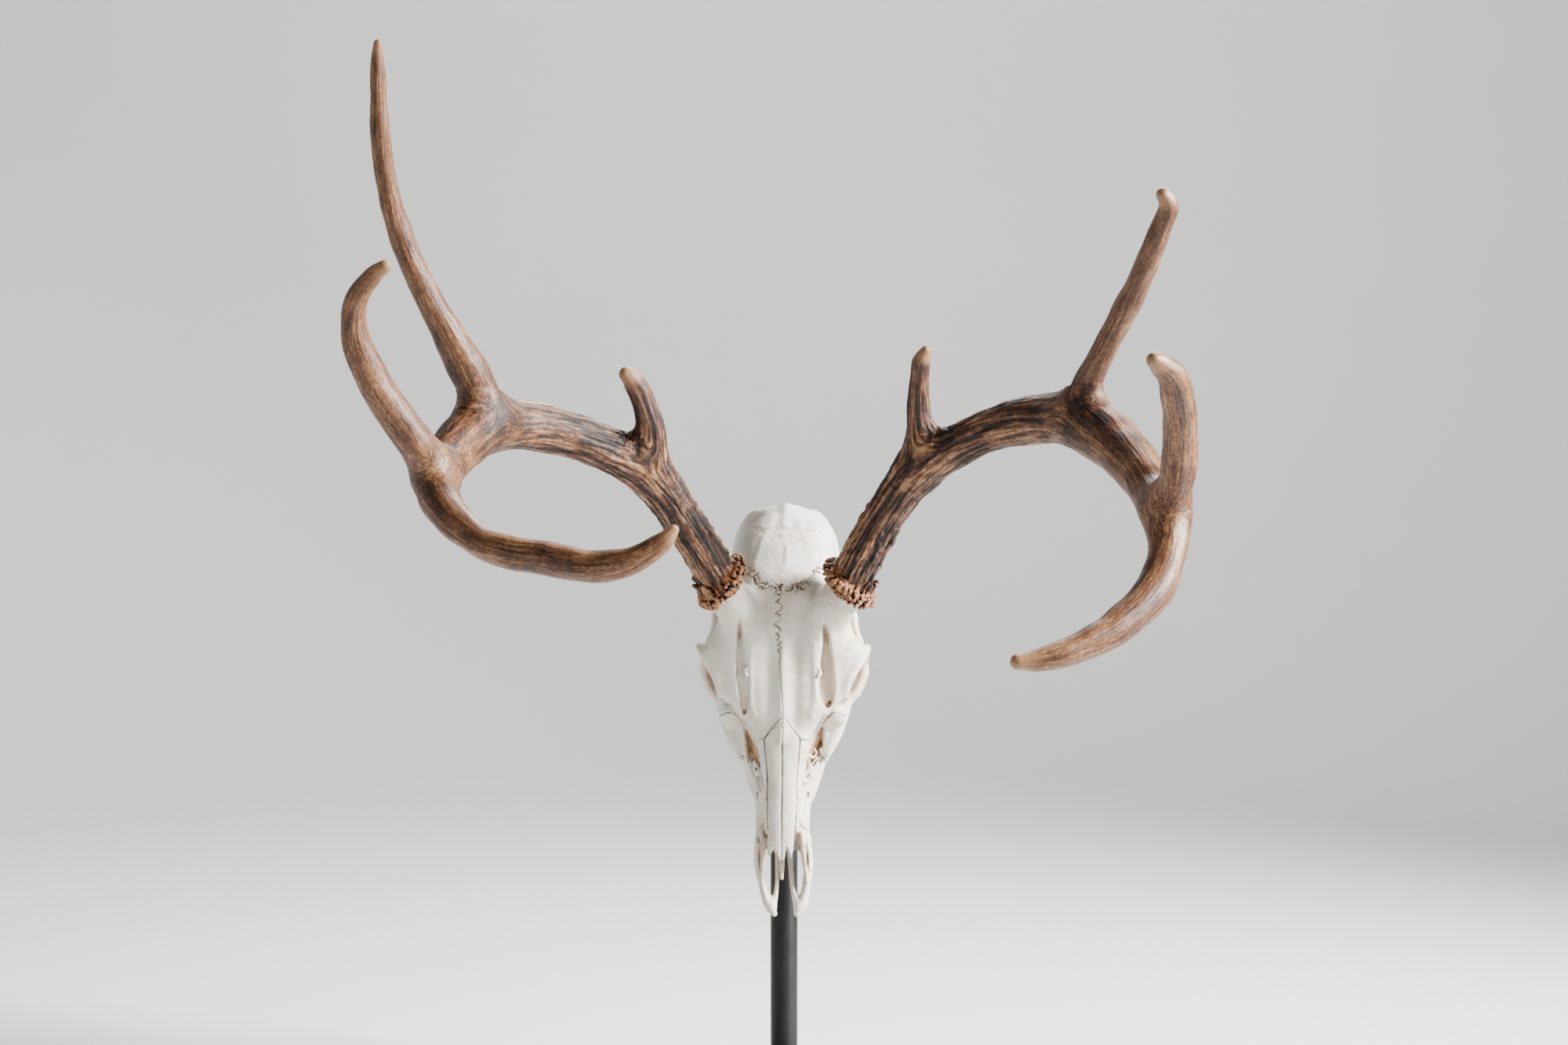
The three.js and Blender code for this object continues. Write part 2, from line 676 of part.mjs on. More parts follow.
const root = new THREE.Group();
root.name = "deer_skull_on_stand";

const turned = new THREE.Group(); // yaw and roll about the pivot
turned.position.set(...PIVOT);
turned.rotation.set(0, degrees(ROLL), degrees(YAW));
root.add(turned);

const skull = new THREE.Group(); // the skull's own frame, pitched nose down
const pitch = degrees(90 - FACE_PITCH);
const noseTip = v3(0, 0, NOSE_TIP_Z).applyAxisAngle(v3(1, 0, 0), pitch);
skull.rotation.x = pitch;
skull.position.set(0, NOSE_BACK, NOSE_HEIGHT).sub(noseTip).sub(turned.position);
turned.add(skull);

/** Adds a geometry to a group as a named mesh with its own material. */
function addMesh(group, name, geometry, look) {
  const mesh = new THREE.Mesh(geometry, new THREE.MeshStandardMaterial(look));
  mesh.name = name;
  group.add(mesh);
  return mesh;
}

root.updateMatrixWorld(true);
const intoSkull = skull.matrixWorld.clone().invert();
const antlers = { left: LEFT_ANTLER, right: RIGHT_ANTLER };
const pedicles = [];
const clearances = [];
for (const [side, antler] of Object.entries(antlers)) {
  for (const [name, part] of Object.entries(antlerParts(antler))) {
    addMesh(root, `antler_${side}_${name}`, tidied(part), ANTLER);
  }
  const foot = v3(...antler.beam[0].slice(0, 3)).applyMatrix4(intoSkull);
  pedicles.push(pedicle(foot));
  const grown = burr(antler, GAP).add(bar(antler.beam, { sides: 10, to: 2, grow: GAP }));
  clearances.push(solid(geometryOf(grown).applyMatrix4(intoSkull)));
}
for (const [name, bone] of Object.entries(bonesOf(pedicles, clearances))) {
  addMesh(skull, name, tidied(bone), BONE);
}

addMesh(root, "stand_base", basePlate(), STEEL);
addMesh(root, "stand_post", post(), STEEL);
addMesh(root, "stand_hook", geometryOf(hook()), STEEL);

// The arm leaves a collar on the post and ends in a pad that rests square on the palate.
const seat = v3(...PAD_SEAT).applyMatrix4(skull.matrixWorld);
const outwards = v3(0, 0, -1).transformDirection(skull.matrixWorld);
const padFront = seat.clone().addScaledVector(outwards, PAD_CLEARANCE);
const padBack = padFront.clone().addScaledVector(outwards, PAD_THICKNESS);
const armEnd = padBack.clone().addScaledVector(outwards, 2 * GAP);
const armRoot = v3(0, POST_BACK - (COLLAR_RADIUS + POST_RADIUS) / 2, ARM_POST_HEIGHT);
const ring = solid(collar(POST_RADIUS + GAP, COLLAR_RADIUS, COLLAR_HEIGHT)
  .translate(0, POST_BACK, ARM_POST_HEIGHT - COLLAR_HEIGHT / 2));
const arm = ring.add(solid(rod(armRoot, armEnd, ARM_RADIUS)));
addMesh(root, "stand_arm", geometryOf(arm), STEEL);
addMesh(root, "stand_pad", rod(padFront, padBack, PAD_RADIUS, 16), RUBBER);

export default root;
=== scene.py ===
"""A white-tailed deer skull with its antlers, held nose down on a black display stand.

The bones are drawn in the skull's own frame in millimetres, with the tooth row level: x to the
deer's left, y backwards from the nose tip and z up from the gum line. The antlers and the stand
are drawn in the stand's frame, also in millimetres, and every mesh ends up in metres.
"""
import itertools
import logging
import math
from dataclasses import dataclass, field
from enum import Enum
from typing import Callable, Optional, Sequence

import bpy
import numpy as np
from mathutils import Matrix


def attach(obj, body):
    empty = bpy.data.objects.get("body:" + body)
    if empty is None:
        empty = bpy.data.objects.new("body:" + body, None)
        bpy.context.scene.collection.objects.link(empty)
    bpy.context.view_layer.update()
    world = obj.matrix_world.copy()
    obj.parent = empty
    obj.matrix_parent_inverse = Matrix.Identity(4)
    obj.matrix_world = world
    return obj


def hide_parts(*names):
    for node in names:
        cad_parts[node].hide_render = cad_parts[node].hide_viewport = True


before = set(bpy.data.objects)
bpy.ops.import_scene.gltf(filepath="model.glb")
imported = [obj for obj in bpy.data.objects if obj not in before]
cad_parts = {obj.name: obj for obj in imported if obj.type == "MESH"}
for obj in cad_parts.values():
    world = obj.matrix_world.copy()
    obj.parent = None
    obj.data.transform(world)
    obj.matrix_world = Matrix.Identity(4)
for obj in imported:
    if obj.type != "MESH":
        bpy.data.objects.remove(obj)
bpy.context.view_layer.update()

import openvdb
from mathutils import Euler, Matrix, Vector

LOG = logging.getLogger("deer_skull")
Array = np.ndarray
Stops = Sequence[Sequence[float]]
Piece = bpy.types.Object
FAR = 30.0  # millimetres: a distance that stands for empty space
GAP = 0.28  # millimetres between neighbouring bones
GRADIENTS = 64  # directions in the noise's table
SHADE_REACH = 3.5  # millimetres over which a hollow counts as deep
BATCH = 20000  # places looked up at a time


# ---- numbers ----


def smooth_min(a: Array, b: Array, blend: float) -> Array:
    """The smaller of two distances, rounded where they are nearly alike.

    Args:
        a: One distance.
        b: The other distance.
        blend: How wide the rounding is, in millimetres.

    Returns:
        The blended distance.
    """
    low = np.minimum(a, b)
    if blend <= 0:
        return low
    near = np.maximum(blend - np.abs(a - b), 0)
    return low - near * near / (4 * blend)


def ease(x: Array, start: float, end: float) -> Array:
    """A soft step from 0 at start to 1 at end.

    Args:
        x: Values to step.
        start: Where the step begins.
        end: Where it ends, on either side of start.

    Returns:
        The step, between 0 and 1.
    """
    t = np.clip((x - start) / (end - start), 0, 1)
    return t * t * (3 - 2 * t)


@dataclass(frozen=True)
class Noise:
    """Smooth seeded noise in space."""

    seed: int = 1

    def at(self, points: Array) -> Array:
        """The noise at each point.

        Args:
            points: (n, 3) places, one unit to a lump.

        Returns:
            (n,) values, mostly between -1 and 1.
        """
        table = np.random.default_rng(self.seed).normal(size=(GRADIENTS, 3))
        table /= np.linalg.norm(table, axis=1, keepdims=True)
        cell = np.floor(points).astype(np.int64)
        part = points - cell
        share = part * part * part * (part * (part * 6 - 15) + 10)
        total = np.zeros(len(points))
        for corner in itertools.product((0, 1), repeat=3):
            at = cell + corner
            key = (at[:, 0] * 73856093) ^ (at[:, 1] * 19349663) ^ (at[:, 2] * 83492791)
            key = (key ^ (key >> 13)) * 1274126177
            pick = table[(key ^ (key >> 16)) % GRADIENTS]
            weight = np.prod(np.where(corner, share, 1 - share), axis=1)
            total += weight * np.einsum("ij,ij->i", pick, part - corner)
        return total * 1.6

    def layers(self, points: Array, count: int) -> Array:
        """Several layers of the noise, each finer and weaker.

        Args:
            points: (n, 3) places.
            count: How many layers.

        Returns:
            (n,) values.
        """
        total = np.zeros(len(points))
        for k in range(count):
            total += self.at(points * 2.03**k + 7.1 * k) * 0.55**k
        return total


def curve_through(stops: Array, times: Array) -> Array:
    """Values on a smooth curve through a list of stops.

    Args:
        stops: (n, k) values at whole times.
        times: (m,) times, counted in stops.

    Returns:
        (m, k) values.
    """
    last = len(stops) - 1
    i = np.minimum(np.floor(times).astype(int), last - 1)
    f = (times - i)[:, None]
    a, b = stops[np.maximum(i - 1, 0)], stops[i]
    c, d = stops[i + 1], stops[np.minimum(i + 2, last)]
    return b + 0.5 * f * (c - a + f * (2 * a - 5 * b + 4 * c - d + f * (3 * (b - c) + d - a)))


def unit(vectors: Array) -> Array:
    """Vectors at length 1."""
    return vectors / np.maximum(np.linalg.norm(vectors, axis=-1, keepdims=True), 1e-9)


def carried(along: Array, side: Array) -> Array:
    """A direction across a curve, carried along it without twist.

    Args:
        along: The curve's direction at each sample.
        side: The direction to start from.

    Returns:
        The direction across at each sample.
    """
    sides = []
    for direction in along:
        side = side - side.dot(direction) * direction
        side = side / np.linalg.norm(side)
        sides.append(side)
    return np.array(sides)


# ---- solids as distances ----


class Shape:
    """A solid that can say how far a place is from its surface, less than nought inside."""

    low: Array
    high: Array

    def distance(self, x: Array, y: Array, z: Array) -> Array:
        """The signed distance on an open grid of coordinates.

        Args:
            x: Coordinates to the deer's left.
            y: Coordinates backwards.
            z: Coordinates upwards.

        Returns:
            The distance at each place.
        """
        raise NotImplementedError


class Egg(Shape):
    """An ellipsoid with its turns in degrees."""

    def __init__(self, centre: Sequence[float], size: Sequence[float],
                 turns: Sequence[float] = (0, 0, 0)) -> None:
        """Places the egg.

        Args:
            centre: Its middle.
            size: Its three half sizes.
            turns: Turns about x, y and z, the last one first.
        """
        self.centre = np.array(centre, float)
        self.size = np.array(size, float)
        rx, ry, rz = (Matrix.Rotation(math.radians(t), 3, axis) for t, axis in zip(turns, "XYZ"))
        self.turn = np.array(rx @ ry @ rz)
        reach = np.sqrt(((self.turn * self.size) ** 2).sum(axis=1))
        self.low, self.high = self.centre - reach, self.centre + reach

    def distance(self, x: Array, y: Array, z: Array) -> Array:
        """The signed distance on an open grid of coordinates."""
        x, y, z = x - self.centre[0], y - self.centre[1], z - self.centre[2]
        whole, slope = 0.0, 0.0
        for k in range(3):
            axis = self.turn[:, k]
            share = (axis[0] * x + axis[1] * y + axis[2] * z) / self.size[k]
            whole = whole + share**2
            slope = slope + (share / self.size[k]) ** 2
        whole = np.sqrt(whole)
        return whole * (whole - 1) / np.sqrt(slope + 1e-9)


class Loft(Shape):
    """A body along y, alike on both sides, through stations of a rounded box."""

    def __init__(self, stations: Stops, square: float = 0.85) -> None:
        """Takes the stations.

        Args:
            stations: (y, half width, top, height of the widest place, bottom) in order of y.
            square: 1 is an ellipse and less is boxier.
        """
        self.stations = np.array(stations, float)
        self.power = 2 / square
        y, wide, top, _, bottom = self.stations.T
        self.low = np.array([-wide.max(), y[0], bottom.min()])
        self.high = np.array([wide.max(), y[-1], top.max()])

    def _at(self, y: Array) -> list[Array]:
        """The sizes on smooth curves through the stations.

        Args:
            y: Where they are asked for.

        Returns:
            The half width, top, middle and bottom.
        """
        knots, values = self.stations[:, 0], self.stations[:, 1:]
        slopes = np.gradient(values, knots, axis=0)
        flat = np.clip(y.ravel(), knots[0], knots[-1])
        i = np.clip(np.searchsorted(knots, flat, side="right") - 1, 0, len(knots) - 2)
        width = knots[i + 1] - knots[i]
        t = ((flat - knots[i]) / width)[:, None]
        width = width[:, None]
        found = (values[i] * (1 + 2 * t) * (1 - t) ** 2 + values[i + 1] * t * t * (3 - 2 * t)
                 + slopes[i] * width * t * (1 - t) ** 2 - slopes[i + 1] * width * t * t * (1 - t))
        return [found[:, k].reshape(1, -1, 1).astype(np.float32) for k in range(4)]

    def distance(self, x: Array, y: Array, z: Array) -> Array:
        """The signed distance on an open grid of coordinates."""
        wide, top, middle, bottom = self._at(y)
        tall = np.where(z > middle, top - middle, middle - bottom)
        across = np.abs(x) / wide
        up = np.abs(z - middle) / tall
        power = self.power
        q = (across**power + up**power) ** (1 / power) + 1e-4
        slope = np.sqrt(((across / q) ** (power - 1) / wide) ** 2
                        + ((up / q) ** (power - 1) / tall) ** 2)
        away = (q - 1) / slope
        return np.maximum(away, np.maximum(y - self.stations[-1, 0], self.stations[0, 0] - y))


class Tube(Shape):
    """A bar with round ends along a smooth curve, perhaps flat in section."""

    def __init__(self, stops: Stops, across: float = 1.0, up: float = 1.0,
                 span: Optional[tuple[float, float]] = None, fine: int = 5,
                 shrink: Optional[Callable[[Array], Array]] = None, room: float = 6.0) -> None:
        """Samples the curve.

        Args:
            stops: (x, y, z, radius) along the bar.
            across: Share of the radius along the bar's side.
            up: Share of the radius along the bar's rise.
            span: The stretch that is made, counted in stops.
            fine: Samples from one stop to the next.
            shrink: What is taken off the radius at each time.
            room: How far round the bar its distance is known.
        """
        stops = np.array(stops, float)
        self.room = room
        start, end = span or (0.0, len(stops) - 1.0)
        count = max(2, int(round((end - start) * fine)) + 1)
        self.times = np.linspace(start, end, count)
        found = curve_through(stops, self.times)
        self.points, self.radii = found[:, :3], found[:, 3]
        if shrink is not None:
            self.radii = self.radii - shrink(self.times)
        self.across, self.up = across, up
        self.along = unit(np.gradient(self.points, axis=0))
        first = self.along[0]
        level = np.array([1.0, 0, 0]) if abs(first[2]) > 0.9 else np.cross(first, [0, 0, 1.0])
        self.side = carried(self.along, level)
        reach = self.radii[:, None] * max(across, up)
        self.low = (self.points - reach).min(axis=0)
        self.high = (self.points + reach).max(axis=0)

    def distance(self, x: Array, y: Array, z: Array) -> Array:
        """The signed distance on an open grid of coordinates."""
        axes = [x.ravel(), y.ravel(), z.ravel()]
        result = np.full([len(a) for a in axes], FAR, np.float32)
        thin = min(self.across, self.up)
        reach = max(self.across, self.up)
        for k in range(len(self.points) - 1):
            a, b = self.points[k], self.points[k + 1]
            ra, rb = self.radii[k], self.radii[k + 1]
            room = max(ra, rb) * reach + self.room
            low, high = np.minimum(a, b) - room, np.maximum(a, b) + room
            cuts = [np.searchsorted(axes[i], (low[i], high[i])) for i in range(3)]
            if any(c[0] >= c[1] for c in cuts):
                continue
            box = tuple(slice(*c) for c in cuts)
            px = (axes[0][box[0]] - a[0])[:, None, None]
            py = (axes[1][box[1]] - a[1])[None, :, None]
            pz = (axes[2][box[2]] - a[2])[None, None, :]
            run = b - a
            t = np.clip((px * run[0] + py * run[1] + pz * run[2]) / run.dot(run), 0, 1)
            ox, oy, oz = px - t * run[0], py - t * run[1], pz - t * run[2]
            radius = ra + t * (rb - ra)
            if self.across == self.up == 1.0:
                away = np.sqrt(ox * ox + oy * oy + oz * oz) - radius
            else:
                side = self.side[k]
                rise = np.cross(side, self.along[k])
                flat = (ox * side[0] + oy * side[1] + oz * side[2]) / self.across
                tall = (ox * rise[0] + oy * rise[1] + oz * rise[2]) / self.up
                on = (ox * self.along[k, 0] + oy * self.along[k, 1] + oz * self.along[k, 2]) / thin
                away = (np.sqrt(flat * flat + tall * tall + on * on) - radius) * thin
            result[box] = np.minimum(result[box], away)
        return result


class Disc(Shape):
    """A round plate with a rounded edge."""

    def __init__(self, centre: Array, normal: Array, radius: float, half: float,
                 edge: float) -> None:
        """Places the plate.

        Args:
            centre: Its middle.
            normal: The way that it faces.
            radius: Its radius.
            half: Half its thickness.
            edge: How round its edge is.
        """
        self.centre, self.normal = np.array(centre, float), unit(np.array(normal, float))
        self.radius, self.half, self.edge = radius, half, edge
        self.low, self.high = self.centre - radius - half, self.centre + radius + half

    def distance(self, x: Array, y: Array, z: Array) -> Array:
        """The signed distance on an open grid of coordinates."""
        x, y, z = x - self.centre[0], y - self.centre[1], z - self.centre[2]
        rise = self.normal[0] * x + self.normal[1] * y + self.normal[2] * z
        out = np.sqrt(np.maximum(x * x + y * y + z * z - rise * rise, 0))
        out, rise = out - (self.radius - self.edge), np.abs(rise) - (self.half - self.edge)
        beyond = np.hypot(np.maximum(out, 0), np.maximum(rise, 0))
        return np.minimum(np.maximum(out, rise), 0) + beyond - self.edge


def segment_gap(a: Array, b: Array, u: Array, v: Array) -> Array:
    """The squared distance of flat places from a segment.

    Args:
        a: The segment's start.
        b: Its end.
        u: First coordinates.
        v: Second coordinates.

    Returns:
        The squared distance at each place.
    """
    run = b - a
    u, v = u - a[0], v - a[1]
    t = np.clip((u * run[0] + v * run[1]) / run.dot(run), 0, 1)
    return (u - t * run[0]) ** 2 + (v - t * run[1]) ** 2


def outline_distance(outline: Stops, u: Array, v: Array) -> Array:
    """The signed distance to a flat outline, less than nought inside.

    Args:
        outline: Its corners in order.
        u: First coordinates.
        v: Second coordinates, of the same shape.

    Returns:
        The distance at each place.
    """
    corners = np.array(outline, float)
    best = np.full(u.shape, 1e9)
    inside = np.zeros(u.shape, bool)
    for a, b in zip(corners, np.roll(corners, -1, axis=0)):
        run = b - a
        best = np.minimum(best, segment_gap(a, b, u, v))
        crosses = (a[1] > v) != (b[1] > v)
        with np.errstate(divide="ignore", invalid="ignore"):
            at = a[0] + (v - a[1]) * run[0] / run[1]
        inside ^= crosses & (u < at)
    return np.where(inside, -1, 1) * np.sqrt(best)


def rounded(outline: Stops, fine: int = 6) -> Array:
    """A smooth closed outline through the corners of a rough one.

    Args:
        outline: The rough one's corners in order.
        fine: Points from one corner to the next.

    Returns:
        The smooth outline's points.
    """
    corners = np.array(outline, float)
    padded = np.concatenate([corners[-1:], corners, corners[:2]])
    times = np.linspace(1, len(corners) + 1, fine * len(corners), endpoint=False)
    return curve_through(padded, times)


class Field:
    """A block of space filled with signed distances on a regular lattice."""

    def __init__(self, low: Sequence[float], high: Sequence[float], step: float) -> None:
        """Starts the block empty.

        Args:
            low: Its lowest corner.
            high: Its highest corner.
            step: The lattice's pitch.
        """
        self.step = step
        self.start = np.floor(np.array(low) / step).astype(int)
        end = np.ceil(np.array(high) / step).astype(int)
        self.values = np.full(end - self.start + 1, FAR, np.float32)

    def part(self, low: Sequence[float], high: Sequence[float]) -> "Field":
        """A copy of one part of the block.

        Args:
            low: The part's lowest corner.
            high: Its highest corner.

        Returns:
            The copy.
        """
        box, _ = self.window(np.array(low, float), np.array(high, float), 0)
        piece = Field((0, 0, 0), (0, 0, 0), self.step)
        piece.start = self.start + [s.start for s in box]
        piece.values = self.values[box].copy()
        return piece

    def axes(self) -> list[Array]:
        """The block's coordinates as an open grid.

        Returns:
            The coordinates along x, y and z.
        """
        spans = [(self.start[k] + np.arange(n)) * self.step
                 for k, n in enumerate(self.values.shape)]
        return [a.astype(np.float32) for a in np.ix_(*spans)]

    def window(self, low: Array, high: Array, margin: float) -> tuple:
        """The part of the lattice round a box.

        Args:
            low: The box's lowest corner.
            high: Its highest corner.
            margin: How much further the window reaches.

        Returns:
            The slices, or None if nothing is inside, and the open coordinates.
        """
        shape = np.array(self.values.shape)
        a = np.floor((low - margin) / self.step).astype(int) - self.start
        b = np.ceil((high + margin) / self.step).astype(int) - self.start + 1
        a, b = np.clip(a, 0, shape), np.clip(b, 0, shape)
        if (b <= a).any():
            return None, None
        spans = [(self.start[k] + np.arange(a[k], b[k])) * self.step for k in range(3)]
        open_grid = [s.astype(np.float32) for s in np.ix_(*spans)]
        return tuple(slice(i, j) for i, j in zip(a, b)), open_grid

    def ends(self, margin: int) -> tuple[Array, Array]:
        """The block's lowest and highest corners, drawn in by a number of cells."""
        last = self.start + np.array(self.values.shape) - 1
        return (self.start + margin) * self.step, (last - margin) * self.step

    def add(self, shape: Shape, blend: float = 0.0) -> None:
        """Joins a shape on, rounding the corner between them.

        Args:
            shape: What is joined on.
            blend: How wide the rounding is.
        """
        box, at = self.window(shape.low, shape.high, blend + 3 * self.step)
        if box is not None:
            self.values[box] = smooth_min(self.values[box], shape.distance(*at), blend)

    def cut(self, shape: Shape, blend: float = 0.0) -> None:
        """Takes a shape away, rounding the edge that it leaves.

        Args:
            shape: What is taken away.
            blend: How wide the rounding is.
        """
        box, at = self.window(shape.low, shape.high, blend + 3 * self.step)
        if box is not None:
            self.values[box] = -smooth_min(-self.values[box], shape.distance(*at), blend)

    def keep(self, distance: Array) -> None:
        """Keeps what lies inside another distance, given over the whole block."""
        np.maximum(self.values, distance, out=self.values, casting="same_kind")

    def sample(self, points: Array) -> Array:
        """The distance at any places, blended from the lattice.

        Args:
            points: (n, 3) places.

        Returns:
            (n,) distances.
        """
        at = points / self.step - self.start
        shape = np.array(self.values.shape)
        at = np.clip(at, 0, shape - 1.001)
        cell = at.astype(int)
        part = at - cell
        total = np.zeros(len(points))
        for corner in itertools.product((0, 1), repeat=3):
            weight = np.prod(np.where(corner, part, 1 - part), axis=1)
            i, j, k = (cell + corner).T
            total += weight * self.values[i, j, k]
        return total

    def skin(self, smallest: int = 400) -> "Skin":
        """The surface as a mesh of quads.

        Args:
            smallest: Loose bits with fewer corners than this are left out.

        Returns:
            The surface.
        """
        padded = np.pad(self.values, 1, constant_values=FAR)
        grid = openvdb.FloatGrid(background=FAR)
        grid.copyFromArray(padded, ijk=(0, 0, 0), tolerance=0.0)
        points, quads = grid.convertToQuads(0.0)
        points = (np.asarray(points, float) - 1 + self.start) * self.step
        return Skin(points, np.asarray(quads, np.int64)).tidied(smallest)


@dataclass
class Skin:
    """A mesh of quads in millimetres, with values on its corners."""

    points: Array
    quads: Array
    values: dict[str, Array] = field(default_factory=dict)

    def tidied(self, smallest: int) -> "Skin":
        """The skin without small loose bits, and facing outwards.

        Args:
            smallest: Bits with fewer corners than this are left out.

        Returns:
            The same skin.
        """
        label = np.arange(len(self.points))
        edges = np.concatenate([self.quads[:, [k, (k + 1) % 4]] for k in range(4)])
        while True:
            low = np.minimum(label[edges[:, 0]], label[edges[:, 1]])
            fresh = label.copy()
            np.minimum.at(fresh, edges[:, 0], low)
            np.minimum.at(fresh, edges[:, 1], low)
            fresh = fresh[fresh]
            if (fresh == label).all():
                break
            label = fresh
        sizes = np.bincount(label, minlength=len(label))
        kept = sizes[label] >= smallest
        quads = self.quads[kept[self.quads[:, 0]]]
        renumber = np.cumsum(kept) - 1
        self.points, self.quads = self.points[kept], renumber[quads]
        a, b, c, d = (self.points[self.quads[:, k]] for k in range(4))
        volume = np.einsum("ij,ij->i", a + b + c + d, np.cross(c - a, d - b)).sum()
        if volume < 0:
            self.quads = self.quads[:, ::-1].copy()
        return self

    def normals(self) -> Array:
        """The outward direction at each corner.

        Returns:
            (n, 3) directions at length 1.
        """
        p = self.points
        q = self.quads
        faces = np.cross(p[q[:, 2]] - p[q[:, 0]], p[q[:, 3]] - p[q[:, 1]])
        total = np.zeros_like(p)
        for k in range(4):
            for axis in range(3):
                total[:, axis] += np.bincount(q[:, k], faces[:, axis], len(p))
        return unit(total)

    def eased(self, rounds: int) -> "Skin":
        """The skin with its corners drawn towards their neighbours a little.

        Args:
            rounds: How many times it is done.

        Returns:
            The same skin.
        """
        q = self.quads
        pairs = np.concatenate([q[:, [k, (k + 1) % 4]] for k in range(4)])
        count = np.bincount(pairs[:, 0], minlength=len(self.points))[:, None]
        for amount in (0.5, -0.52) * rounds:
            mean = np.stack([np.bincount(pairs[:, 0], self.points[pairs[:, 1], k],
                                         len(self.points)) for k in range(3)], axis=1)
            self.points = self.points + amount * (mean / np.maximum(count, 1) - self.points)
        return self

    def as_object(self, name: str, place: Matrix, material: bpy.types.Material) -> Piece:
        """The skin as an object, in metres.

        Args:
            name: The object's name.
            place: From the skin's frame to the stand's, in millimetres.
            material: Its material.

        Returns:
            The object, with its values as attributes.
        """
        turn = np.array(place)
        world = (self.points @ turn[:3, :3].T + turn[:3, 3]) / 1000
        mesh = bpy.data.meshes.new(name)
        mesh.vertices.add(len(world))
        mesh.vertices.foreach_set("co", world.astype(np.float32).ravel())
        mesh.loops.add(self.quads.size)
        mesh.loops.foreach_set("vertex_index", self.quads.astype(np.int32).ravel())
        mesh.polygons.add(len(self.quads))
        mesh.polygons.foreach_set("loop_start", np.arange(0, self.quads.size, 4, dtype=np.int32))
        mesh.update(calc_edges=True)
        mesh.shade_smooth()
        for key, values in self.values.items():
            if values.ndim == 2:
                store = mesh.attributes.new(key, "FLOAT_VECTOR", "POINT")
                store.data.foreach_set("vector", values.astype(np.float32).ravel())
            else:
                store = mesh.attributes.new(key, "FLOAT", "POINT")
                store.data.foreach_set("value", values.astype(np.float32))
        mesh.materials.append(material)
        made = bpy.data.objects.new(name, mesh)
        bpy.context.scene.collection.objects.link(made)
        return made


# ---- materials ----


class Net:
    """A short way to write shader nodes."""

    def __init__(self, tree: bpy.types.NodeTree) -> None:
        """Keeps the tree that the nodes go into."""
        self.tree = tree

    def node(self, kind: str, **inputs: object) -> bpy.types.Node:
        """Adds a node.

        Args:
            kind: The node's type, without its prefix.
            inputs: Inputs as fill takes them, and settings after set_.

        Returns:
            The node.
        """
        made = self.tree.nodes.new("ShaderNode" + kind)
        for key in [key for key in inputs if key.startswith("set_")]:
            setattr(made, key[4:], inputs.pop(key))
        self.fill(made, **inputs)
        return made

    def fill(self, node: bpy.types.Node, **inputs: object) -> None:
        """Feeds a node's inputs.

        Args:
            node: The node.
            inputs: Values or sockets by input name, with _ for a space, or by number as in0.
        """
        for key, value in inputs.items():
            numbered = key.startswith("in") and key[2:].isdigit()
            self.feed(node.inputs[int(key[2:]) if numbered else key.replace("_", " ")], value)

    def feed(self, socket: bpy.types.NodeSocket, value: object) -> None:
        """Feeds one input.

        Args:
            socket: The input.
            value: A socket to link, or a plain value.
        """
        if isinstance(value, bpy.types.NodeSocket):
            self.tree.links.new(value, socket)
        elif isinstance(value, tuple) and len(value) == 3 and socket.type == "RGBA":
            socket.default_value = (*value, 1.0)
        else:
            socket.default_value = value

    def maths(self, operation: str, a: object, b: object, clamp: bool) -> object:
        """One sum on two numbers."""
        made = self.node("Math", set_operation=operation, set_use_clamp=clamp, in0=a, in1=b)
        return made.outputs[0]

    def plus(self, a: object, b: object, clamp: bool = False) -> object:
        """Two numbers added, and held between 0 and 1 if asked."""
        return self.maths("ADD", a, b, clamp)

    def minus(self, a: object, b: object) -> object:
        """One number less another."""
        return self.maths("SUBTRACT", a, b, False)

    def times(self, a: object, b: object) -> object:
        """Two numbers multiplied."""
        return self.maths("MULTIPLY", a, b, False)

    def mix(self, share: object, a: object, b: object) -> object:
        """A blend of two colours."""
        return self.node("Mix", set_data_type="RGBA", in0=share, in6=a, in7=b).outputs[2]

    def span(self, value: object, low: float, high: float, to_low: float = 0.0,
             to_high: float = 1.0) -> object:
        """A number moved from one range to another, and held inside it."""
        return self.node("MapRange", in0=value, in1=low, in2=high, in3=to_low,
                         in4=to_high).outputs[0]

    def stored(self, name: str, output: str = "Fac") -> object:
        """A value stored on the mesh."""
        return self.node("Attribute", set_attribute_type="GEOMETRY",
                         set_attribute_name=name).outputs[output]

    def stretched(self, vector: object, factors: tuple) -> object:
        """A place multiplied along each axis."""
        return self.node("VectorMath", set_operation="MULTIPLY", in0=vector,
                         in1=factors).outputs[0]

    def noise(self, vector: object, scale: object, detail: float = 3.0) -> object:
        """A noise between 0 and 1."""
        return self.node("TexNoise", Vector=vector, Scale=scale, Detail=detail).outputs["Fac"]

    def bump(self, strength: float, distance: float, height: object) -> object:
        """A normal tilted by a height."""
        return self.node("Bump", Strength=strength, Distance=distance, Height=height).outputs[0]


class Effect(Enum):
    """The shader groups that several materials share."""

    CLOUD = "cloudy_colour"
    GRAIN = "fine_grain"
    DUST = "settled_dust"


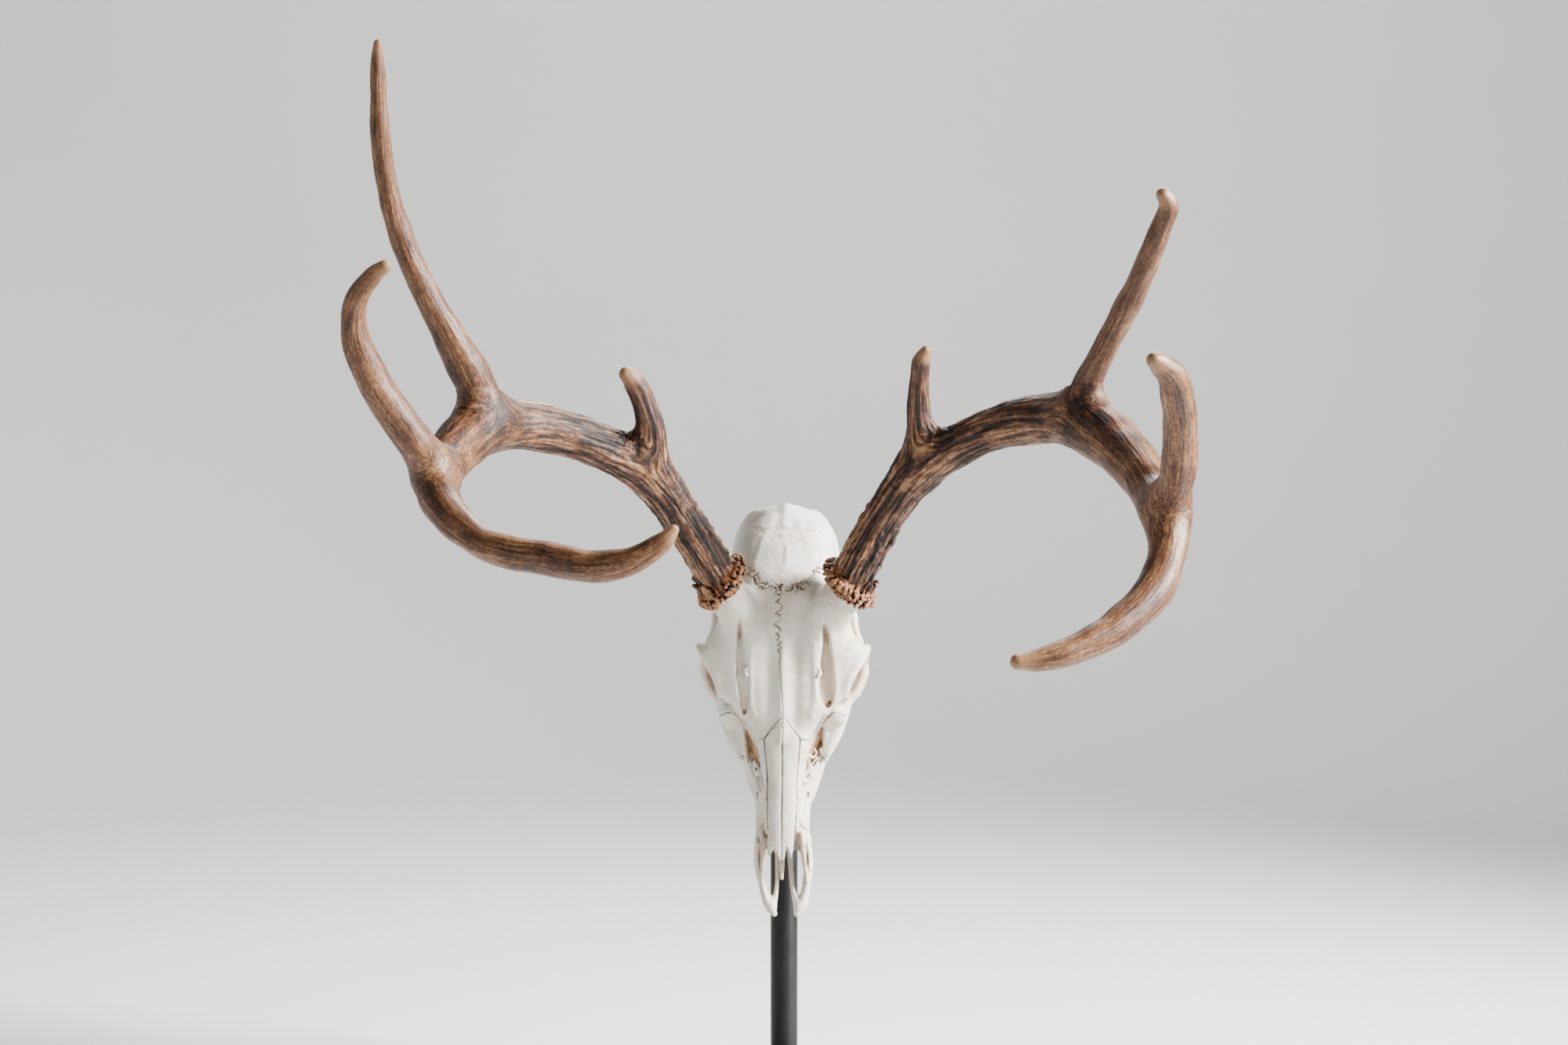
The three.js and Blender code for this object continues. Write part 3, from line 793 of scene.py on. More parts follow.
class EffectGroup:
    """The shader group of one effect. Its first input is the place where it is read."""

    def __init__(self, effect: Effect) -> None:
        """Starts the group and lays the effect's nodes.

        Args:
            effect: Which effect.
        """
        self.tree = bpy.data.node_groups.new(effect.value, "ShaderNodeTree")
        self.net = Net(self.tree)
        self.entry = self.tree.nodes.new("NodeGroupInput")
        self.leave = self.tree.nodes.new("NodeGroupOutput")
        {Effect.CLOUD: self._cloud, Effect.GRAIN: self._grain, Effect.DUST: self._dust}[effect]()

    def _takes(self, **inputs: Optional[float]) -> bpy.types.bpy_prop_collection:
        """Adds the group's inputs after the place.

        Args:
            inputs: The start value of each number, or None for a colour.

        Returns:
            The sockets that bring them in.
        """
        face = self.tree.interface
        face.new_socket("Vector", in_out="INPUT", socket_type="NodeSocketVector")
        for name, start in inputs.items():
            kind = "NodeSocketColor" if start is None else "NodeSocketFloat"
            made = face.new_socket(name, in_out="INPUT", socket_type=kind)
            if start is not None:
                made.default_value = start
        return self.entry.outputs

    def _gives(self, **outputs: bpy.types.NodeSocket) -> None:
        """Adds the group's outputs.

        Args:
            outputs: What each one puts out. Color is a colour and the others are numbers.
        """
        for name, value in outputs.items():
            kind = "NodeSocketColor" if name == "Color" else "NodeSocketFloat"
            self.tree.interface.new_socket(name, in_out="OUTPUT", socket_type=kind)
            self.net.feed(self.leave.inputs[name], value)

    def _cloud(self) -> None:
        """A colour that drifts from a light one to a dark one, and how dark it is."""
        net, given = self.net, self._takes(Scale=1.0, Spread=0.5, Light=None, Dark=None)
        broad = net.noise(given["Vector"], given["Scale"], 4.0)
        finer = net.noise(given["Vector"], net.times(given["Scale"], 5.3))
        both = net.plus(net.times(broad, 0.7), net.times(finer, 0.3))
        mask = net.plus(net.times(net.minus(both, 0.5), 4.0), given["Spread"], clamp=True)
        self._gives(Color=net.mix(mask, given["Light"], given["Dark"]), Mask=mask)

    def _grain(self) -> None:
        """Streaks drawn out along z, and small pores."""
        net, given = self.net, self._takes(Scale=10.0, Stretch=1.0)
        squeeze = net.node("CombineXYZ", X=1.0, Y=1.0, Z=given["Stretch"]).outputs[0]
        drawn = net.stretched(given["Vector"], squeeze)
        cells = net.node("TexVoronoi", Vector=drawn, Scale=net.times(given["Scale"], 1.7))
        self._gives(Streaks=net.noise(drawn, given["Scale"], 5.0),
                    Pores=net.span(cells.outputs["Distance"], 0.05, 0.35))

    def _dust(self) -> None:
        """Where dust lies: in patches on what faces up."""
        net, given = self.net, self._takes(Amount=0.3)
        facing = net.node("NewGeometry").outputs["Normal"]
        lying = net.span(net.node("SeparateXYZ", Vector=facing).outputs["Z"], 0.2, 0.95)
        broken = net.span(net.noise(given["Vector"], 90.0, 6.0), 0.35, 0.7)
        self._gives(Mask=net.times(net.times(lying, broken), given["Amount"]))


def effect_group(effect: Effect) -> bpy.types.NodeTree:
    """An effect's shader group, built the first time that it is asked for."""
    return bpy.data.node_groups.get(effect.value) or EffectGroup(effect).tree


@dataclass(frozen=True)
class Finish:
    """A finish with a name. Each kind lays its own nodes."""

    name: str = "finish"

    def material(self) -> bpy.types.Material:
        """The finish as a material, built once.

        Returns:
            The material.
        """
        found = bpy.data.materials.get(self.name)
        if found is not None:
            return found
        made = bpy.data.materials.new(self.name)
        made.use_nodes = True
        shader = next(n for n in made.node_tree.nodes if n.type == "BSDF_PRINCIPLED")
        self.lay(Net(made.node_tree), shader)
        return made

    def lay(self, net: Net, shader: bpy.types.Node) -> None:
        """Lays the nodes that feed the shader.

        Args:
            net: The tree's writer.
            shader: The material's shader.
        """
        raise NotImplementedError

    def group(self, net: Net, effect: Effect, vector: object, **inputs: object) -> object:
        """Places a shared effect.

        Args:
            net: The tree's writer.
            effect: Which effect.
            vector: Where it is read.
            inputs: The group's own inputs.

        Returns:
            The group node's outputs.
        """
        made = net.tree.nodes.new("ShaderNodeGroup")
        made.node_tree = effect_group(effect)
        net.fill(made, Vector=vector, **inputs)
        return made.outputs


@dataclass(frozen=True)
class BoneFinish(Finish):
    """Bleached bone: cloudy white, with painted shade in tan in its hollows, and painted light in a
    warm tint where it is thin or deep inside.
    """

    name: str = "bleached_bone"
    white: tuple = (0.70, 0.675, 0.615)
    cream: tuple = (0.56, 0.50, 0.40)
    # painted shade: the tan that closed-in hollows are tinted with
    tan: tuple = (0.30, 0.165, 0.080)
    # painted light and shade: the warm tint standing in for light through thin bone and shade deep
    # inside
    painted_glow_amber: tuple = (0.42, 0.19, 0.048)
    seam: tuple = (0.17, 0.09, 0.05)

    def lay(self, net: Net, shader: bpy.types.Node) -> None:
        """Lays the nodes that feed the shader."""
        place = net.stored("place", "Vector")
        cloud = self.group(net, Effect.CLOUD, place, Scale=0.42, Spread=0.42, Light=self.white,
                           Dark=self.cream)
        grain = self.group(net, Effect.GRAIN, place, Scale=9.0, Stretch=1.0)
        streaks = grain["Streaks"]
        patchy = net.span(net.noise(place, 2.2, 5.0), 0.35, 0.65, 0.55, 1.0)
        # painted light and shade: the stored thin value, light through thin bone and warm shade deep
        # inside
        thin = net.times(net.span(net.stored("thin"), 0.2, 1.0, 0.0, 0.85), patchy)
        # painted shade: the stored hollow value, how closed in each place is
        hollow = net.times(net.span(net.stored("hollow"), 0.22, 0.95, 0.0, 0.9), patchy)
        seam = net.span(net.stored("seam"), 0.1, 0.9, 0.0, 0.9)
        colour = net.mix(net.span(streaks, 0.45, 0.8, 0.0, 0.22), cloud["Color"], self.cream)
        for share, tint in ((thin, self.painted_glow_amber), (hollow, self.tan), (seam, self.seam)):
            colour = net.mix(share, colour, tint)
        fibres = net.noise(net.stretched(place, (1.0, 0.16, 1.0)), 14.0, 4.0)
        height = net.plus(net.times(grain["Pores"], 0.35), net.plus(net.times(streaks, 0.8), fibres))
        net.fill(shader, Base_Color=colour, Roughness=net.span(streaks, 0.3, 0.7, 0.46, 0.60),
                 Specular_IOR_Level=0.42, Subsurface_Weight=0.06, Subsurface_Scale=0.002,
                 Normal=net.bump(0.32, 0.0008, height))


@dataclass(frozen=True)
class EnamelFinish(Finish):
    """Tooth enamel: ivory and shiny, with painted shade in brown in its folds and brown staining near
    the gum.
    """

    name: str = "tooth_enamel"
    ivory: tuple = (0.68, 0.61, 0.47)
    yellow: tuple = (0.62, 0.48, 0.28)
    # painted shade in the folds and staining at the gum share this brown
    shade_and_stain_brown: tuple = (0.11, 0.055, 0.025)

    def lay(self, net: Net, shader: bpy.types.Node) -> None:
        """Lays the nodes that feed the shader."""
        place = net.stored("place", "Vector")
        cloud = self.group(net, Effect.CLOUD, place, Scale=1.6, Spread=0.4, Light=self.ivory,
                           Dark=self.yellow)
        patchy = net.span(net.noise(place, 5.0, 5.0), 0.3, 0.7, 0.4, 1.0)
        # painted shade in the folds, and real staining along the gum, from the stored hollow value
        shade_and_stain_share = net.times(net.span(net.stored("hollow"), 0.12, 0.75), patchy)
        lines = net.noise(net.stretched(place, (1.0, 1.0, 0.15)), 16.0)
        net.fill(shader, Base_Color=net.mix(shade_and_stain_share, cloud["Color"], self.shade_and_stain_brown),
                 Roughness=net.span(shade_and_stain_share, 0.0, 1.0, 0.22, 0.6), Coat_Weight=0.25,
                 Coat_Roughness=0.15, Normal=net.bump(0.15, 0.0004, lines))


@dataclass(frozen=True)
class AntlerFinish(Finish):
    """Antler: tan ridges and near-black grooves at the foot, paler and smoother outwards."""

    name: str = "weathered_antler"
    groove: tuple = (0.004, 0.0016, 0.0009)
    brown: tuple = (0.030, 0.0098, 0.0036)
    tan: tuple = (0.125, 0.050, 0.019)
    light: tuple = (0.33, 0.185, 0.088)
    polished: tuple = (0.27, 0.145, 0.068)
    rust: tuple = (0.20, 0.056, 0.013)

    def lay(self, net: Net, shader: bpy.types.Node) -> None:
        """Lays the nodes that feed the shader."""
        place = net.stored("grain", "Vector")
        height, pale, tip, burr = (net.stored(name) for name in ("height", "pale", "tip", "burr"))
        fine, coarse, specks = (
            self.group(net, Effect.GRAIN, place, Scale=scale, Stretch=stretch)["Streaks"]
            for scale, stretch in ((6.5, 0.10), (2.4, 0.07), (11.0, 0.33)))
        # the stored height holds painted shade in the burr's recesses as well as the grooves
        tone = net.times(height, 0.62)
        for value, near, far in ((fine, 2.3, 0.9), (coarse, 2.4, 0.8),
                                 (net.noise(place, 0.55, 4.0), 1.5, 1.0), (specks, 0.6, 1.3)):
            swing = net.span(pale, 0.0, 0.8, near, far)
            tone = net.plus(tone, net.times(net.minus(value, 0.5), swing))
        tone = net.plus(tone, net.span(pale, 0.0, 1.0, 0.06, 0.50))
        rust = net.times(burr, net.span(height, -0.1, 0.7, 0.0, 0.8))
        knobs = net.span(net.times(burr, net.span(height, 0.45, 1.1)), 0.0, 1.0, 0.0, 0.45)
        worn = net.times(tip, net.span(coarse, 0.3, 0.6, 0.65, 1.0))
        colour = self._toned(net, tone)
        for share, tint in ((rust, self.rust), (knobs, self.light), (worn, self.polished)):
            colour = net.mix(share, colour, tint)
        polish = net.plus(net.times(tip, 0.10), net.span(pale, 0.4, 1.0, 0.0, 0.08))
        relief = net.plus(fine, net.times(coarse, 1.2))
        net.fill(shader, Base_Color=colour, Specular_IOR_Level=0.38,
                 Roughness=net.minus(net.span(tone, -0.2, 1.0, 0.72, 0.46), polish),
                 Normal=net.bump(0.42, 0.0009, relief))

    def _toned(self, net: Net, tone: object) -> object:
        """The colour for a tone.

        Args:
            net: The tree's writer.
            tone: From 0 in the grooves to 1 on the ridges.

        Returns:
            The colour, from near black to light tan.
        """
        ramp = net.node("ValToRGB", in0=net.span(tone, -0.05, 1.1))
        stops = ramp.color_ramp.elements
        stops[0].color, stops[1].color = (*self.groove, 1), (*self.light, 1)
        stops.new(0.30).color = (*self.brown, 1)
        stops.new(0.62).color = (*self.tan, 1)
        return ramp.outputs[0]


@dataclass(frozen=True)
class CoatFinish(Finish):
    """Black powder coat on steel, with a little dust lying on it."""

    name: str = "black_coat"
    black: tuple = (0.004, 0.004, 0.0044)
    worn: tuple = (0.009, 0.009, 0.0095)
    dust: tuple = (0.16, 0.15, 0.14)
    roughness: float = 0.38
    texture: float = 700.0
    strength: float = 0.10

    def lay(self, net: Net, shader: bpy.types.Node) -> None:
        """Lays the nodes that feed the shader."""
        place = net.node("TexCoord").outputs["Object"]
        cloud = self.group(net, Effect.CLOUD, place, Scale=14.0, Spread=0.3, Light=self.black,
                           Dark=self.worn)
        dust = self.group(net, Effect.DUST, place, Amount=0.05)["Mask"]
        sheen = net.span(cloud["Mask"], 0.0, 1.0, self.roughness, self.roughness + 0.12)
        net.fill(shader, Base_Color=net.mix(dust, cloud["Color"], self.dust),
                 Roughness=net.plus(sheen, net.times(dust, 0.8)), Specular_IOR_Level=0.28,
                 Normal=net.bump(self.strength, 0.0003, net.noise(place, self.texture, 2.0)))


@dataclass(frozen=True)
class PaperFinish(Finish):
    """The pale floor and backdrop."""

    name: str = "pale_paper"
    pale: tuple = (0.80, 0.80, 0.79)

    def lay(self, net: Net, shader: bpy.types.Node) -> None:
        """Lays the nodes that feed the shader."""
        place = net.node("TexCoord").outputs["Object"]
        cloud = self.group(net, Effect.CLOUD, place, Scale=2.0, Spread=0.5, Light=self.pale,
                           Dark=tuple(c * 0.985 for c in self.pale))
        net.fill(shader, Base_Color=cloud["Color"], Roughness=0.9)


BONE = BoneFinish()
ENAMEL = EnamelFinish()
ANTLER = AntlerFinish()
STEEL = CoatFinish()
RUBBER = CoatFinish(name="black_rubber", black=(0.018, 0.018, 0.018), worn=(0.04, 0.04, 0.04),
                    roughness=0.75, texture=1500.0, strength=0.2)
PAPER = PaperFinish()


# ---- the skull ----


class Side(Enum):
    """The deer's left or right, as the sign of x."""

    LEFT = 1
    RIGHT = -1

    @property
    def word(self) -> str:
        """The side's name."""
        return self.name.lower()


def on_side(stops: Stops, side: Side) -> Array:
    """Stops drawn for the left, set on one side.

    Args:
        stops: The stops, with x first.
        side: Which side.

    Returns:
        The stops there.
    """
    moved = np.array(stops, float)
    moved[:, 0] *= side.value
    return moved


def egg_on(side: Side, centre: Sequence[float], size: Sequence[float],
           turns: Sequence[float] = (0, 0, 0)) -> Egg:
    """An egg drawn for the left, set on one side.

    Args:
        side: Which side.
        centre: Its middle.
        size: Its three half sizes.
        turns: Its turns in degrees.

    Returns:
        The egg there.
    """
    x, y, z = centre
    a, b, c = turns
    return Egg((x * side.value, y, z), size, (a, b * side.value, c * side.value))


def box_on(side: Side, low: Sequence[float], high: Sequence[float]) -> tuple[Array, Array]:
    """The corners of a box drawn for the left, set on one side."""
    ends = on_side([low, high], side)
    return ends.min(axis=0), ends.max(axis=0)


@dataclass
class SkullPose:
    """How the skull hangs on its stand.

    Attributes:
        face_pitch: How far the tooth row leans from upright, in degrees.
        nose_height: The nose tip's height over the floor.
        nose_back: How far behind the stand's middle it is.
        nose_tip_z: Its height in the skull's own frame.
        yaw: The head's turn about the upright, in degrees.
        roll: Its tilt to one side, in degrees.
        pivot: The place that it turns and tilts about.
    """

    face_pitch: float = 20.5
    nose_height: float = 150.0
    nose_back: float = 19.0
    nose_tip_z: float = 8.0
    yaw: float = -1.5
    roll: float = 0.4
    pivot: tuple = (0.0, 25.0, 385.0)

    def matrix(self) -> Matrix:
        """From the skull's frame to the stand's, both in millimetres.

        Returns:
            The pose as a matrix.
        """
        pitch = Matrix.Rotation(math.radians(90 - self.face_pitch), 4, "X")
        tip = pitch @ Vector((0, 0, self.nose_tip_z))
        pivot = Vector(self.pivot)
        hang = Matrix.Translation(Vector((0, self.nose_back, self.nose_height)) - tip - pivot)
        turn = (Matrix.Rotation(math.radians(self.roll), 4, "Y")
                @ Matrix.Rotation(math.radians(self.yaw), 4, "Z"))
        return Matrix.Translation(pivot) @ turn @ hang @ pitch


@dataclass(frozen=True)
class Line:
    """A ridge, a furrow or a suture of the skull, drawn on its top or its side.

    Attributes:
        stops: (x, y) on the top or (y, z) on the side.
        width: Half its width.
        height: How far it stands out, or in if less than nought.
        seam: How dark it is.
        wiggle: How far it wanders.
    """

    stops: tuple
    width: float
    height: float
    seam: float = 0.0
    wiggle: float = 0.0

    def at(self, u: Array, v: Array) -> Array:
        """How much of the line is at each place.

        Args:
            u: First coordinates.
            v: Second coordinates.

        Returns:
            The share, from 0 to 1.
        """
        stops = np.array(self.stops, float)
        path = curve_through(stops, np.linspace(0, len(stops) - 1, 8 * len(stops)))
        best = np.full(u.shape, 1e9)
        if self.wiggle:
            here = np.stack([u / 2.1, v / 2.1, np.full(u.shape, 3.3)], axis=1)
            u = u + self.wiggle * Noise(5).at(here)
            v = v + self.wiggle * Noise(6).at(here)
        for a, b in zip(path[:-1], path[1:]):
            best = np.minimum(best, segment_gap(a, b, u, v))
        return np.exp(-best / self.width**2)


# Ridges and furrows come first and sutures after them, the same on the left and the right.
TOP_LINES = (
    Line(((0, 112), (0, 160), (0, 208)), 3.0, 1.1),
    Line(((8.5, 122), (9, 150), (10, 176), (13, 196)), 4.8, -1.6),
    Line(((20, 128), (23, 140), (22.5, 152), (21.5, 170)), 2.6, 0.9),
    Line(((22, 216), (19, 234), (12, 256), (8, 270)), 2.6, 0.4),
    Line(((0, 216), (0, 240), (0, 262)), 3.0, 0.3),
    Line(((0, 262), (0, 272), (0, 281)), 3.4, 0.7),
    Line(((0, 206), (6, 210), (13, 211), (19, 217), (24, 226)), 1.1, -0.35, 0.7, 5.0),
    Line(((1, 206), (7, 212), (13, 213), (20, 219), (25, 228)), 0.9, -0.3, 0.6, 6.2),
    Line(((0, 228), (0, 240)), 1.5, -0.3, 0.7),
    Line(((15, 245), (8, 249), (1, 252)), 0.9, -0.3, 0.4, 1.6),
    Line(((17, 259), (17.4, 266)), 3.4, 0.1, 0.3, 3.0),
    Line(((0, 257), (8, 259), (15, 257), (22, 261)), 0.9, -0.35, 0.6, 3.4),
    Line(((45, 141), (38, 137), (33, 131), (27, 126)), 0.75, -0.4, 0.6, 1.2),
)
FLANK_LINES = (
    Line(((84, 20), (100, 22), (122, 25), (142, 31)), 3.6, 1.0),
    Line(((98, 52), (110, 44), (118, 34), (121, 22)), 0.75, -0.3, 0.35, 2.0),
    Line(((121, 22), (134, 22), (146, 27), (156, 33)), 0.75, -0.3, 0.3, 1.6),
    Line(((206, 60), (222, 68), (240, 66), (256, 52)), 0.8, -0.35, 0.5, 2.2),
    Line(((190, 40), (205, 34), (226, 40), (246, 34)), 3.0, 0.8),
)


@dataclass(frozen=True)
class Pocket:
    """A hollow sunk into the top of the skull inside an outline.

    Attributes:
        outline: (x, y) of its corners, with x towards the pocket's own side.
        floor: The lowest height that it may reach.
        depth: How deep it goes under the surface.
        slope: How fast it deepens inwards from its edge.
        painted_glow: How much painted light and warm shade its bottom gets, from 0 to 1.
    """

    outline: tuple
    floor: float
    depth: float
    slope: float
    painted_glow: float = 1.0


@dataclass(frozen=True)
class Lace:
    """The thin bone struts behind a face hole.

    Attributes:
        mesh: How far apart the struts are, along each axis.
        width: Half their width, more or less.
        fade: The y from which they fade and the y where they are gone.
    """

    mesh: tuple
    width: float
    fade: tuple


FACE_HOLES = {
    Side.LEFT: Pocket(((28.2, 130), (29.4, 121), (28.2, 111), (24.8, 96), (20.8, 90), (12.9, 84.5),
                       (13.2, 92.5), (15.3, 103), (17.2, 113), (22.4, 123)), 31, 6.5, 2.6),
    Side.RIGHT: Pocket(((27.9, 128.5), (26.6, 114.4), (24.2, 100.3), (21.3, 89.8), (11.4, 82.6),
                        (13.6, 98.8), (14.9, 109), (21.4, 121.5)), 31, 7.5, 2.2),
}
# The last number of each groove is how much painted light and warm shade its bottom gets.
BROW_GROOVES = {
    Side.LEFT: Pocket(((27.3, 184), (26.2, 172), (24.6, 160), (22.8, 150), (24.4, 139), (30, 133),
                       (34.8, 137), (36.2, 146), (34.6, 163), (31.6, 180)), 58, 6.6, 2.8, 0.62),
    Side.RIGHT: Pocket(((28.5, 186), (26, 174), (23.5, 160), (21.8, 146), (22.8, 132), (27.2, 129),
                        (30.4, 140), (32.4, 155), (32.8, 168), (31.8, 180)), 58, 6.0, 2.4, 0.22),
}
LACES = {
    Side.LEFT: Lace((4.4, 7.0, 4.4), 1.25, (112.0, 118.0)),
    Side.RIGHT: Lace((3.0, 15.0, 3.6), 0.95, (103.0, 110.0)),
}
WHOLE = ((-66, 30, -17), (66, 292, 128))  # the block that holds every fixed bone
ROOF = 112.0  # no pocket starts higher than this
ORBIT = (47, 158.5, 58.5)  # the middle of the deer's left eye socket
ORBIT_TURN = (0, 8, -14)

# The skull's main forms from front to back: y, half width, top, widest height and bottom.
BRIDGE = [(35, 8.8, 40.5, 37, 33), (58, 11.8, 48.5, 39, 27), (80, 13.5, 56, 42, 24),
          (105, 18, 64, 46, 24), (128, 25, 72.5, 50, 24), (150, 33, 82, 56, 26)]
CHEEKS = [(44, 18.2, 23, 15, 9.5), (58, 18.8, 28, 16.5, 8), (72, 19.0, 32, 17.5, 7.2),
          (86, 20.2, 36, 18.5, 7), (100, 24.4, 42, 22, 7), (118, 32.6, 50, 27, 7),
          (138, 41, 55, 32, 7), (158, 37, 48, 30, 7), (170, 30, 42, 26, 9)]
BROW = [(116, 15, 61, 56, 50), (126, 26, 71, 62, 51), (139, 39, 77.5, 67, 52), (153, 48, 84, 71, 56),
        (171, 56, 92.5, 75, 60), (184, 49, 98, 77, 58), (198, 41, 103, 80, 56),
        (211, 36.5, 104.2, 77, 50), (226, 32, 99, 71, 46), (240, 25, 88, 64, 44)]
BRAINCASE = [(182, 22, 90, 66, 40), (198, 33, 101, 66, 30), (218, 37.5, 103.5, 64, 25),
             (238, 38, 99, 61, 23), (256, 35.5, 90.5, 57, 22), (270, 28, 82, 54, 22),
             (279, 17, 76, 50, 30)]
BASE = [(140, 12, 60, 40, 24), (175, 9, 60, 34, 20), (205, 9, 50, 28, 18), (240, 12, 50, 28, 17),
        (266, 17, 44, 30, 21)]

# The bones' outlines where the sutures run, (x, y) on the top or (y, z) on the side.
NASAL_TIPS = {
    Side.LEFT: [(0, 34), (1.5, 34.6), (2.5, 38), (3.4, 42.8), (4.6, 40), (6.2, 36.4), (7.6, 39.5),
                (10.0, 62), (10.3, 90)],
    Side.RIGHT: [(0, 34), (1.5, 34.6), (3.4, 38), (6.0, 43), (7.2, 39.5), (8.6, 36.4), (9.6, 40),
                 (9.6, 62), (9.9, 90)],
}
NASAL_PLAN = [(12.4, 113), (6.4, 120), (0, 127)]
FRONTAL_PLAN = [(0, 118), (6.4, 120), (12.4, 113), (17, 113), (24, 124), (34, 131), (150, 133),
                (150, 228), (30, 230), (23, 224), (17, 212), (8, 209.5), (0, 206)]
FRONTAL_FLANK = [(100, 40), (132, 56), (150, 60), (181, 58), (192, 68), (206, 84), (226, 90),
                 (226, 150), (100, 150)]
MAXILLA_FLANK = [(0, -150), (171, -150), (173, 20), (160, 62), (160, 150), (0, 150)]
NOSE_WALL = [(0, -40), (50, -40), (56, 16), (60, 26), (70, 34), (78, 60), (0, 60)]
NOSE_END = 55  # nothing of the fixed bones is left in front of this y
# The space that holds each kind of bone on the left: x from and to, then y from and to.
BONE_SPANS = {"nasal": (-9, 16, 30, 132), "frontal": (-9, 66, 106, 236),
              "maxilla": (-1, 60, 44, 176), "premaxilla": (-1, 26, 30, 84)}


@dataclass
class Skull:
    """The skull and its teeth, bone by bone.

    Attributes:
        pose: How it hangs.
        feet: Where each antler's foot is, in the skull's frame.
        step: The pitch of the fixed bones' lattice.
        nose_step: The pitch for the nose bars and the wall between them.
        cheek_step: The pitch for the cheek bones.
        teeth_step: The pitch for the teeth.
        lean: How much each side's nose bars lean outwards for each millimetre forwards.
        seams: How far each place is from the nearest suture.
    """

    pose: SkullPose
    feet: dict
    step: float = 0.7
    nose_step: float = 0.45
    cheek_step: float = 0.55
    teeth_step: float = 0.54
    lean: dict = field(default_factory=lambda: {Side.LEFT: 0.07, Side.RIGHT: -0.03})
    seams: Optional[Field] = None

    def build(self) -> list[Piece]:
        """Builds and dresses every bone.

        Returns:
            The bones and the teeth.
        """
        whole, outer = self._solid()
        made = [self._dress(name, bone, outer) for name, bone in self._parted(whole)]
        for side in Side:
            made.append(self._dress(f"zygomatic_{side.word}", self._cheek(side), outer))
            made.append(self._teeth(side))
        return made + [self._dress("vomer", self._septum(), outer)]

    # -- forms

    def _solid(self) -> tuple[Field, Field]:
        """The whole skull without its loose bones.

        Returns:
            The skull with its hollows, and its outer form without them.
        """
        whole = Field(*WHOLE, self.step)
        whole.add(Loft(BRIDGE))
        whole.add(Loft(CHEEKS, 0.75), 7)
        snout = Field((-24, 30, 4), (24, 112, 70), self.step)
        snout.add(Loft([(15, 8, 38, 36, 33), *BRIDGE]))
        snout.add(Loft([(15, 17.5, 21, 15, 9.5), *CHEEKS], 0.75), 7)
        whole.add(Loft(BROW, 0.8), 5)
        whole.add(Loft(BRAINCASE), 6)
        whole.add(Loft(BASE), 5)
        for side in Side:  # the necks of bone that the antlers stand on
            foot = self.feet[side]
            whole.add(Tube([(foot[0] * 0.5, 184, 78, 20), (foot[0] * 0.66, 192, 92, 16),
                            (foot[0] * 0.84, 199, 108, 14), (*foot, 10.5)]), 7)
        outer = whole.part((-66, 60, 20), (66, 232, 128))
        self._hollows(whole, outer)
        self._nose_cavity(whole, snout)
        for side in Side:
            self._ridges(whole, side)
        # the back of the braincase's inside, and the hole that leads into it
        whole.cut(Tube([(0, 238, 56, 20), (0, 258, 49, 14), (0, 274, 43, 11.5), (0, 294, 35, 13)]), 1)
        return whole, outer

    @staticmethod
    def _nose_cavity(whole: Field, snout: Field) -> None:
        """Hollows the nose out, with a wall that thickens backwards until it closes.

        Args:
            whole: The skull.
            snout: The nose's solid form, drawn further forwards than the skull's.
        """
        box, at = whole.window(*snout.ends(0), -0.1)
        inner, _ = snout.window(*snout.ends(0), -0.1)
        thick = 1.6 + 0.02 * (at[1] - 44) + 14 * ease(at[1], 74, 104)
        cavity = np.maximum(snout.values[inner] + thick, 11.8 - at[2])
        whole.values[box] = -smooth_min(-whole.values[box], cavity, 0.8)

    def _hollows(self, whole: Field, outer: Field) -> None:
        """Cuts the hollows into the skull.

        Args:
            whole: The skull.
            outer: Its outer form, which the pockets and the lace in them follow.
        """
        # the nose's passage, and the one behind the palate
        whole.cut(Loft([(52, 8.0, 40.5, 28, 12), (66, 8.6, 43.5, 30, 12), (86, 9, 49, 33, 12),
                        (126, 12, 60, 40, 16)], 0.75), 0.6)
        whole.cut(Tube([(0, 138, 20, 6), (0, 160, 17, 8), (0, 182, 11, 9)]), 1.5)
        for side in Side:
            # the eye socket, the temple behind it and the dip in front of it
            whole.cut(egg_on(side, ORBIT, (33, 17.5, 18), ORBIT_TURN), 1.2)
            whole.cut(egg_on(side, (53, 205, 60), (13, 27, 22), (0, 0, -4)), 4)
            whole.cut(egg_on(side, (52.5, 126, 50), (10, 11, 9), (0, 0, -20)), 5)
            self._sink(whole, outer, side, BROW_GROOVES[side])
            self._sink(whole, outer, side, FACE_HOLES[side])
            self._web(whole, outer, side)

    @staticmethod
    def _above(block: Field, side: Side, pocket: Pocket) -> tuple:
        """The window round a pocket.

        Args:
            block: The block that it is a window of.
            side: The pocket's side.
            pocket: Its outline.

        Returns:
            The slices and the open coordinates.
        """
        corners = np.array(pocket.outline)
        near, front = corners.min(axis=0) - 2
        far, back = corners.max(axis=0) + 2
        return block.window(*box_on(side, (near, front, pocket.floor), (far, back, ROOF)), 0)

    def _inset(self, at: list, side: Side, pocket: Pocket) -> Array:
        """How far inside a pocket's outline each place is."""
        x, y = np.broadcast_arrays(at[0][:, :, 0] * side.value, at[1][:, :, 0])
        return -outline_distance(rounded(pocket.outline), x, y)[:, :, None].astype(np.float32)

    def _sink(self, whole: Field, outer: Field, side: Side, pocket: Pocket) -> None:
        """Cuts a pocket.

        Args:
            whole: The skull.
            outer: Its outer form, which the pocket's depth is counted from.
            side: The pocket's side.
            pocket: Its outline and depth.
        """
        box, at = self._above(whole, side, pocket)
        outside, _ = self._above(outer, side, pocket)
        depth = np.minimum(pocket.depth, pocket.slope * self._inset(at, side, pocket))
        hollow = -outer.values[outside] - depth
        whole.values[box] = -smooth_min(-whole.values[box], hollow, 0.5)

